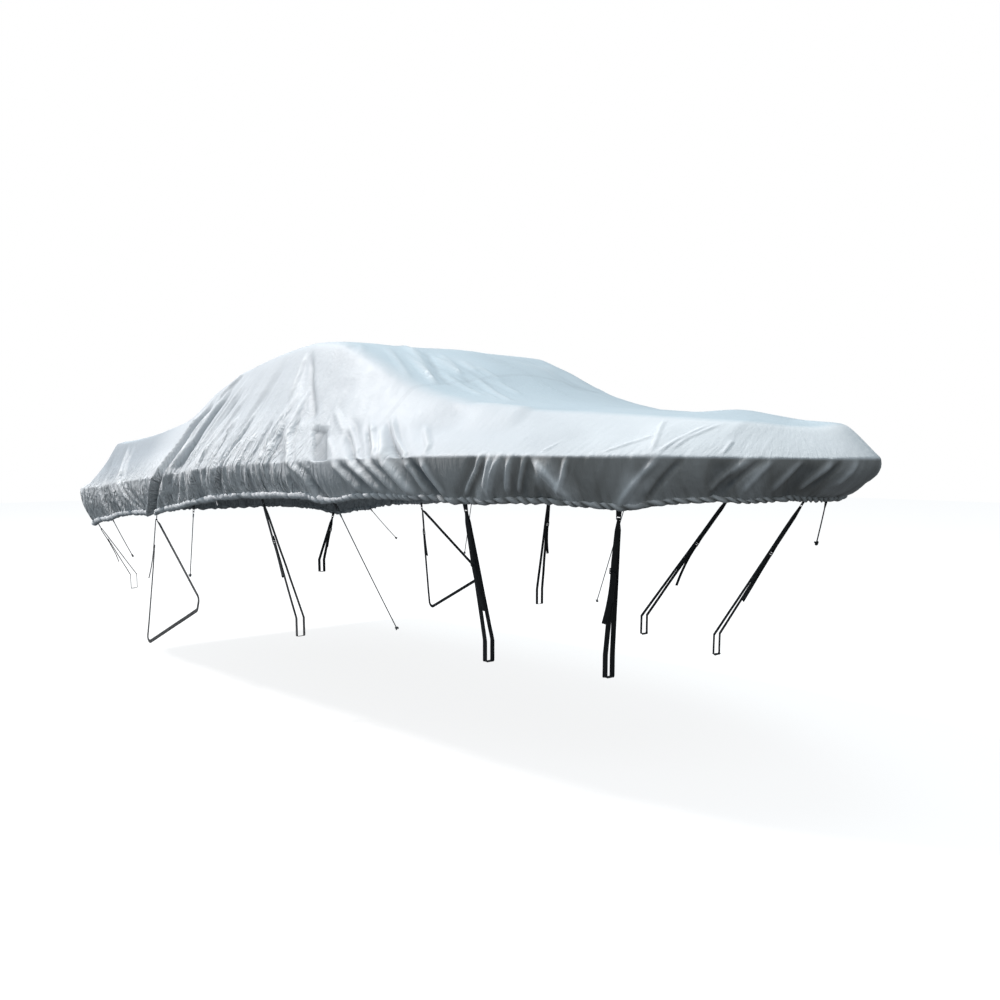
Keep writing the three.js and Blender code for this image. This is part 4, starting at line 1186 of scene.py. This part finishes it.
clothLook = {
    "light": (0.70, 0.72, 0.745), "dim": (0.63, 0.66, 0.685), "cloudScale": 1.7,
    "fore": {"colour": (0.86, 0.89, 0.905), "x": (1.3, 2.9)},
    "stern": {"colour": (0.43, 0.465, 0.50), "x": (-1.5, -1.95), "level": (1.0, 1.2)},
    "top": {"colour": (0.54, 0.645, 0.70), "level": (1.93, 2.14), "share": 0.85},
    "soilAndShade": {"colour": (0.22, 0.2, 0.175), "streak": (9, 1.3, 1), "scale": 2.2, "floor": 0.5,
             "gain": 1.6, "least": 0.25, "clears": 0.75, "forwardShadeX": (0.8, 1.7), "forwardShadeMost": 0.78,
             "rail": (0.93, 1.0), "rough": 0.25},
    "under": (0.7, 1.5), "aft": (0.1, 0.7), "foreShare": 0.12,
    "pleat": {"stretch": (24, 3.6, 1), "wander": 3.5, "rough": 0.55, "narrow": 6.0, "bright": 0.6},
    "crumple": {"stretch": (13, 13, 8), "rough": 0.55, "twist": 0.8, "narrow": 7.0,
                "bright": 0.45, "under": 0.72, "least": 0.07},
    "shade": (0.24, 0.26, 0.28), "paintedHighlight": (0.86, 0.87, 0.88), "paintedHighlightShare": 0.9,
    "depth": {"under": 1.1, "least": 0.6},
    "stitch": {"colour": (0.2, 0.22, 0.24), "rows": (0.004, 0.013), "half": 0.0016,
               "perMetre": 950.0, "split": -0.3, "share": 0.4, "sunk": 2.0},
    "mottle": {"scale": 14.0, "rough": 0.16}, "roughness": 0.44,
    "constants": {"Specular IOR Level": 0.42, "Sheen Weight": 0.1, "Sheen Roughness": 0.4},
    "weave": 900.0 / 6.28, "crinkle": (30, 9, 1), "fineCrinkle": 42.0,
    "bumps": [(0.016, 1.0), (0.009, 0.9), (0.003, 0.7), (0.0026, 0.6), (0.00004, 0.6)],
}


def clothFinish():
    f, look = Finish("silver_cloth"), clothLook
    uv, place, level, seam = f.pieceUv(), f.place(), f.attribute("level"), f.attribute("seam")
    along = f.node("SeparateXYZ", {0: place}).outputs[0]
    base = f.mix(f.noise(place, look["cloudScale"], 4), look["dim"], look["light"])
    fore, stern, top = look["fore"], look["stern"], look["top"]
    # painted light: the cloth is painted lighter toward the bow
    base = f.mix(f.fade(along, *fore["x"], shape="SMOOTHSTEP"), base, fore["colour"])
    # painted shade: the slope and top toward the stern are painted darker
    sternward = f.times(f.fade(along, *stern["x"], shape="SMOOTHSTEP"),
                        f.fade(level, *stern["level"], shape="SMOOTHSTEP"))
    base = f.mix(sternward, base, stern["colour"])
    # streaks of soil on the skirt, over painted shade that darkens it toward the hem, and forward a
    # warm painted shade, a painted reflection of the ground, over all of it
    soilAndShadeLook = look["soilAndShade"]
    streaks = f.spots(f.noise(f.stretched(uv, soilAndShadeLook["streak"]), soilAndShadeLook["scale"], 5, 0.6),
                      soilAndShadeLook["floor"], soilAndShadeLook["gain"])
    low = f.less(1.0, f.times(level, soilAndShadeLook["clears"], True), True)
    soilAndShade = f.times(f.plus(streaks, soilAndShadeLook["least"]), low, True)
    forwardShade = f.times(f.fade(along, *soilAndShadeLook["forwardShadeX"], 0.0, soilAndShadeLook["forwardShadeMost"]),
                       f.fade(level, *soilAndShadeLook["rail"], 1.0, 0.0))
    soilAndShade = f.math("MAXIMUM", soilAndShade, forwardShade)
    base = f.mix(soilAndShade, base, soilAndShadeLook["colour"])
    # painted sky reflection: the top above the shoulder is painted bluer and darker
    over = f.times(f.fade(level, *top["level"], shape="SMOOTHSTEP"), top["share"])
    base = f.mix(over, base, top["colour"])
    # little pleats on the skirt and just over the rail, fewer toward the bow
    under = f.fade(level, *look["under"], 1.0, 0.0)
    aft = f.fade(along, *look["aft"], 1.0, look["foreShare"])
    pleats = look["pleat"]
    pleatPlace = f.node("VectorMath", {0: f.stretched(uv, pleats["stretch"]),
                                       1: f.noise(place, pleats["wander"], 2)},
                        operation="ADD").outputs[0]
    pleat = f.times(f.creased(f.noise(pleatPlace, 1.0, 3, pleats["rough"]), pleats["narrow"]),
                    f.times(under, aft))
    # crumples with hard edges, as stiff coated cloth has them
    crumples = look["crumple"]
    slack = f.times(f.plus(f.times(under, crumples["under"]), crumples["least"]), aft)
    crumple = f.noise(f.stretched(place, crumples["stretch"]), 1.0, 3.0, crumples["rough"],
                      Distortion=crumples["twist"])
    crumple = f.times(f.creased(crumple, crumples["narrow"]), slack)
    # painted shade in the hollows of the folds, painted highlights on their tops and along the pleat
    # and crumple lines
    hollowShade = f.attribute("hollowShade")
    strength = f.plus(f.times(under, look["depth"]["under"]), look["depth"]["least"])
    base = f.mix(f.times(f.math("MAXIMUM", hollowShade, 0.0), strength, True), base, look["shade"])
    risen = f.times(f.math("MAXIMUM", f.times(hollowShade, -1.0), 0.0), strength)
    # painted highlights along the pleat and crumple lines
    risen = f.plus(risen, f.times(pleat, pleats["bright"]))
    risen = f.plus(risen, f.times(crumple, crumples["bright"]))
    base = f.mix(f.times(risen, look["paintedHighlightShare"], True), base, look["paintedHighlight"])
    # two rows of stitches beside the cross seam
    stitch = look["stitch"]
    around = f.node("SeparateXYZ", {0: uv}).outputs[1]
    dash = f.math("GREATER_THAN", f.math("SINE", f.times(around, stitch["perMetre"])),
                  stitch["split"])
    rows = [f.math("COMPARE", seam, row, stitch["half"]) for row in stitch["rows"]]
    stitches = f.times(f.plus(*rows, True), dash)
    base = f.mix(f.times(stitches, stitch["share"]), base, stitch["colour"])
    mottled = f.times(f.noise(place, look["mottle"]["scale"], 3), look["mottle"]["rough"])
    rough = f.plus(f.plus(mottled, look["roughness"]), f.times(soilAndShade, soilAndShadeLook["rough"]))
    weave = f.times(f.wave(uv, look["weave"], "X"), f.wave(uv, look["weave"], "Y"))
    heights = [pleat, crumple, f.noise(f.stretched(uv, look["crinkle"]), 1.0, 5, 0.6),
               f.noise(place, look["fineCrinkle"], 4, 0.6),
               f.less(weave, f.times(stitches, stitch["sunk"]))]
    normal = None
    for height, (distance, share) in zip(heights, look["bumps"]):
        normal = f.bump(height, distance, share, normal)
    f.set({"Base Color": base, "Roughness": rough, "Normal": normal, **look["constants"]})
    return f.material


webbingLook = {"black": (0.012, 0.012, 0.014), "worn": (0.06, 0.058, 0.055),
               "groove": (0.004, 0.004, 0.005), "ribs": 900.0 / 6.28, "columns": 900.0 / 9.4,
               "wander": 0.4, "dust": (20, 60, 20), "dustiness": (0.42, 1.9), "grooved": 0.3,
               "rough": 0.68, "dustRough": 0.2, "rib": (0.0005, 0.9),
               "constants": {"Sheen Weight": 0.25, "Sheen Roughness": 0.5}}


def webbingFinish(name, onStrap):
    f, look = Finish(name), webbingLook
    uv = f.pieceUv() if onStrap else f.place()
    ribs = f.wave(uv, look["ribs"], "X" if onStrap else "Z", look["wander"])
    columns = f.wave(uv, look["columns"], "Y")
    dust = f.spots(f.noise(f.stretched(uv, look["dust"]), 1.0, 4, 0.65), *look["dustiness"])
    colour = f.mix(dust, look["black"], look["worn"])
    colour = f.mix(f.times(ribs, look["grooved"]), colour, look["groove"])
    rough = f.plus(f.times(dust, look["dustRough"]), look["rough"])
    f.set({"Base Color": colour, "Roughness": rough, **look["constants"],
           "Normal": f.bump(f.times(ribs, columns), *look["rib"])})
    return f.material


plasticLook = {"black": (0.016, 0.016, 0.018), "scuffed": (0.07, 0.07, 0.075), "rough": 0.36,
               "grain": 1400.0, "grainBump": (0.0001, 0.5), "scuffs": 160.0,
               "scuffing": (0.5, 2.2), "scuffRough": 0.3}


def plasticFinish():
    f, look = Finish("moulded_plastic"), plasticLook
    place = f.place()
    scuffs = f.spots(f.noise(place, look["scuffs"], 5, 0.7), *look["scuffing"])
    f.set({"Base Color": f.mix(scuffs, look["black"], look["scuffed"]),
           "Roughness": f.plus(f.times(scuffs, look["scuffRough"]), look["rough"]),
           "Normal": f.bump(f.noise(place, look["grain"], 2), *look["grainBump"])})
    return f.material


cordLook = {"pale_cord": ((0.5, 0.5, 0.5), (0.2, 0.2, 0.21)),
            "dark_cord": ((0.035, 0.035, 0.04), (0.012, 0.012, 0.014)),
            "braid": (300, 160, 1), "braided": 0.35, "dirt": (22, 40, 1), "rough": 0.8,
            "sheen": 0.2, "strand": (0.0006, 0.8)}


def cordFinish(name):
    f, (clean, dirty) = Finish(name), cordLook[name]
    uv = f.pieceUv()
    braid = f.wave(f.stretched(uv, cordLook["braid"]), 1.2, "DIAGONAL", 1.0)
    colour = f.mix(f.noise(f.stretched(uv, cordLook["dirt"]), 1.0, 4, 0.6), clean, dirty)
    f.set({"Base Color": f.mix(f.times(braid, cordLook["braided"]), colour, dirty),
           "Roughness": cordLook["rough"], "Sheen Weight": cordLook["sheen"],
           "Normal": f.bump(braid, *cordLook["strand"])})
    return f.material


platedLook = {"bright": (0.74, 0.75, 0.77), "dull": (0.58, 0.59, 0.6), "rust": (0.3, 0.26, 0.22),
              "dullScale": 260.0, "dullRough": 0.3, "dullBump": (0.0002, 0.4),
              "rustScale": 520.0, "rusting": (0.6, 5.0), "metal": 0.55, "rough": 0.2}


def platedFinish():
    f, look = Finish("plated_wire"), platedLook
    place = f.place()
    dull = f.noise(place, look["dullScale"], 4, 0.6)
    spots = f.spots(f.noise(place, look["rustScale"], 3), *look["rusting"])
    f.set({"Base Color": f.mix(spots, f.mix(dull, look["bright"], look["dull"]), look["rust"]),
           "Roughness": f.plus(f.times(dull, look["dullRough"]), look["rough"]),
           "Metallic": look["metal"], "Normal": f.bump(dull, *look["dullBump"])})
    return f.material


finishes = {
    "cloth": clothFinish(), "webbing": webbingFinish("black_webbing", True),
    "tab": webbingFinish("black_webbing_tab", False), "buckle": plasticFinish(),
    "cord": cordFinish("pale_cord"), "dark_cord": cordFinish("dark_cord"), "hook": platedFinish(),
}
for piece, finish in pieces:
    piece.data.materials.clear()
    piece.data.materials.append(finishes[finish])
print("finishes set")


# plain pale floor and soft studio light, under a sky that is darkest below
studio = {
    "floorZ": -2.2, "floorSize": 60, "aim": (-0.3, 0, -0.8),
    "floor": {"Base Color": (0.3, 0.3, 0.3, 1), "Roughness": 0.9, "Specular IOR Level": 0.0,
              "Emission Color": (1, 1, 1, 1), "Emission Strength": 0.85},
    "sky": 1.0, "sternward": -0.45,
    "skyTones": [(0.0, (0.03, 0.028, 0.026)), (254 / 255, (0.3985, 0.4683, 0.5181)),
                 (1.0, (1, 1, 1))],
    "lights": {
        "key": {"place": (-7.5, -5.6, 12.2), "size": 2.2, "power": 2080,
                "colour": (1.0, 0.96, 0.95)},
        "overhead": {"place": (0.5, 0, 12), "size": 7, "power": 370, "colour": (0.82, 0.95, 1.0)},
        "bow": {"place": (8.0, -3.0, 8.0), "size": 5, "power": 110, "colour": (0.9, 0.95, 1.0)},
        "stern": {"place": (-7.5, -5.5, 1.6), "size": 3, "power": 62, "colour": (0.88, 0.95, 1.0)},
    },
}
selectNone()
bpy.ops.mesh.primitive_plane_add(size=studio["floorSize"], location=(0, 0, studio["floorZ"]))
floor = bpy.context.active_object
floor.name = "floor"
floor.visible_diffuse = False
floor.visible_glossy = False
floor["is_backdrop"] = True
pale = Finish("pale_floor")
pale.set(studio["floor"])
floor.data.materials.append(pale.material)

world = bpy.data.worlds.new("studio")
scene.world = world
world.use_nodes = True
world.node_tree.nodes.clear()
sky = Nodes(world.node_tree)
way = sky.node("SeparateXYZ", {0: sky.node("TexCoord").outputs["Generated"]}).outputs
tone = sky.ramp(sky.fade(way[2], -1.0, 1.0), studio["skyTones"])
strength = sky.math("MULTIPLY_ADD", way[0], studio["sternward"], studio["sky"])
lit = sky.node("Background", {0: tone, 1: strength}).outputs[0]
seen = sky.node("Background", {0: (1, 1, 1, 1)}).outputs[0]
isSeen = sky.node("LightPath").outputs["Is Camera Ray"]
chosen = sky.node("MixShader", {0: isSeen, 1: lit, 2: seen}).outputs[0]
sky.node("OutputWorld", {0: chosen})

for name, lightSetup in studio["lights"].items():
    lamp = bpy.data.lights.new(name, "AREA")
    lamp.shape = "DISK"
    lamp.size, lamp.energy, lamp.color = (lightSetup[word] for word in ("size", "power", "colour"))
    light = bpy.data.objects.new(name, lamp)
    light.location = lightSetup["place"]
    facing = Vector(studio["aim"]) - light.location
    light.rotation_euler = facing.to_track_quat("-Z", "Y").to_euler()
    scene.collection.objects.link(light)
scene.view_settings.view_transform = "Standard"
print("floor and light made")

low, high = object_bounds()
print("sizes", [round(b - a, 3) for a, b in zip(low, high)])
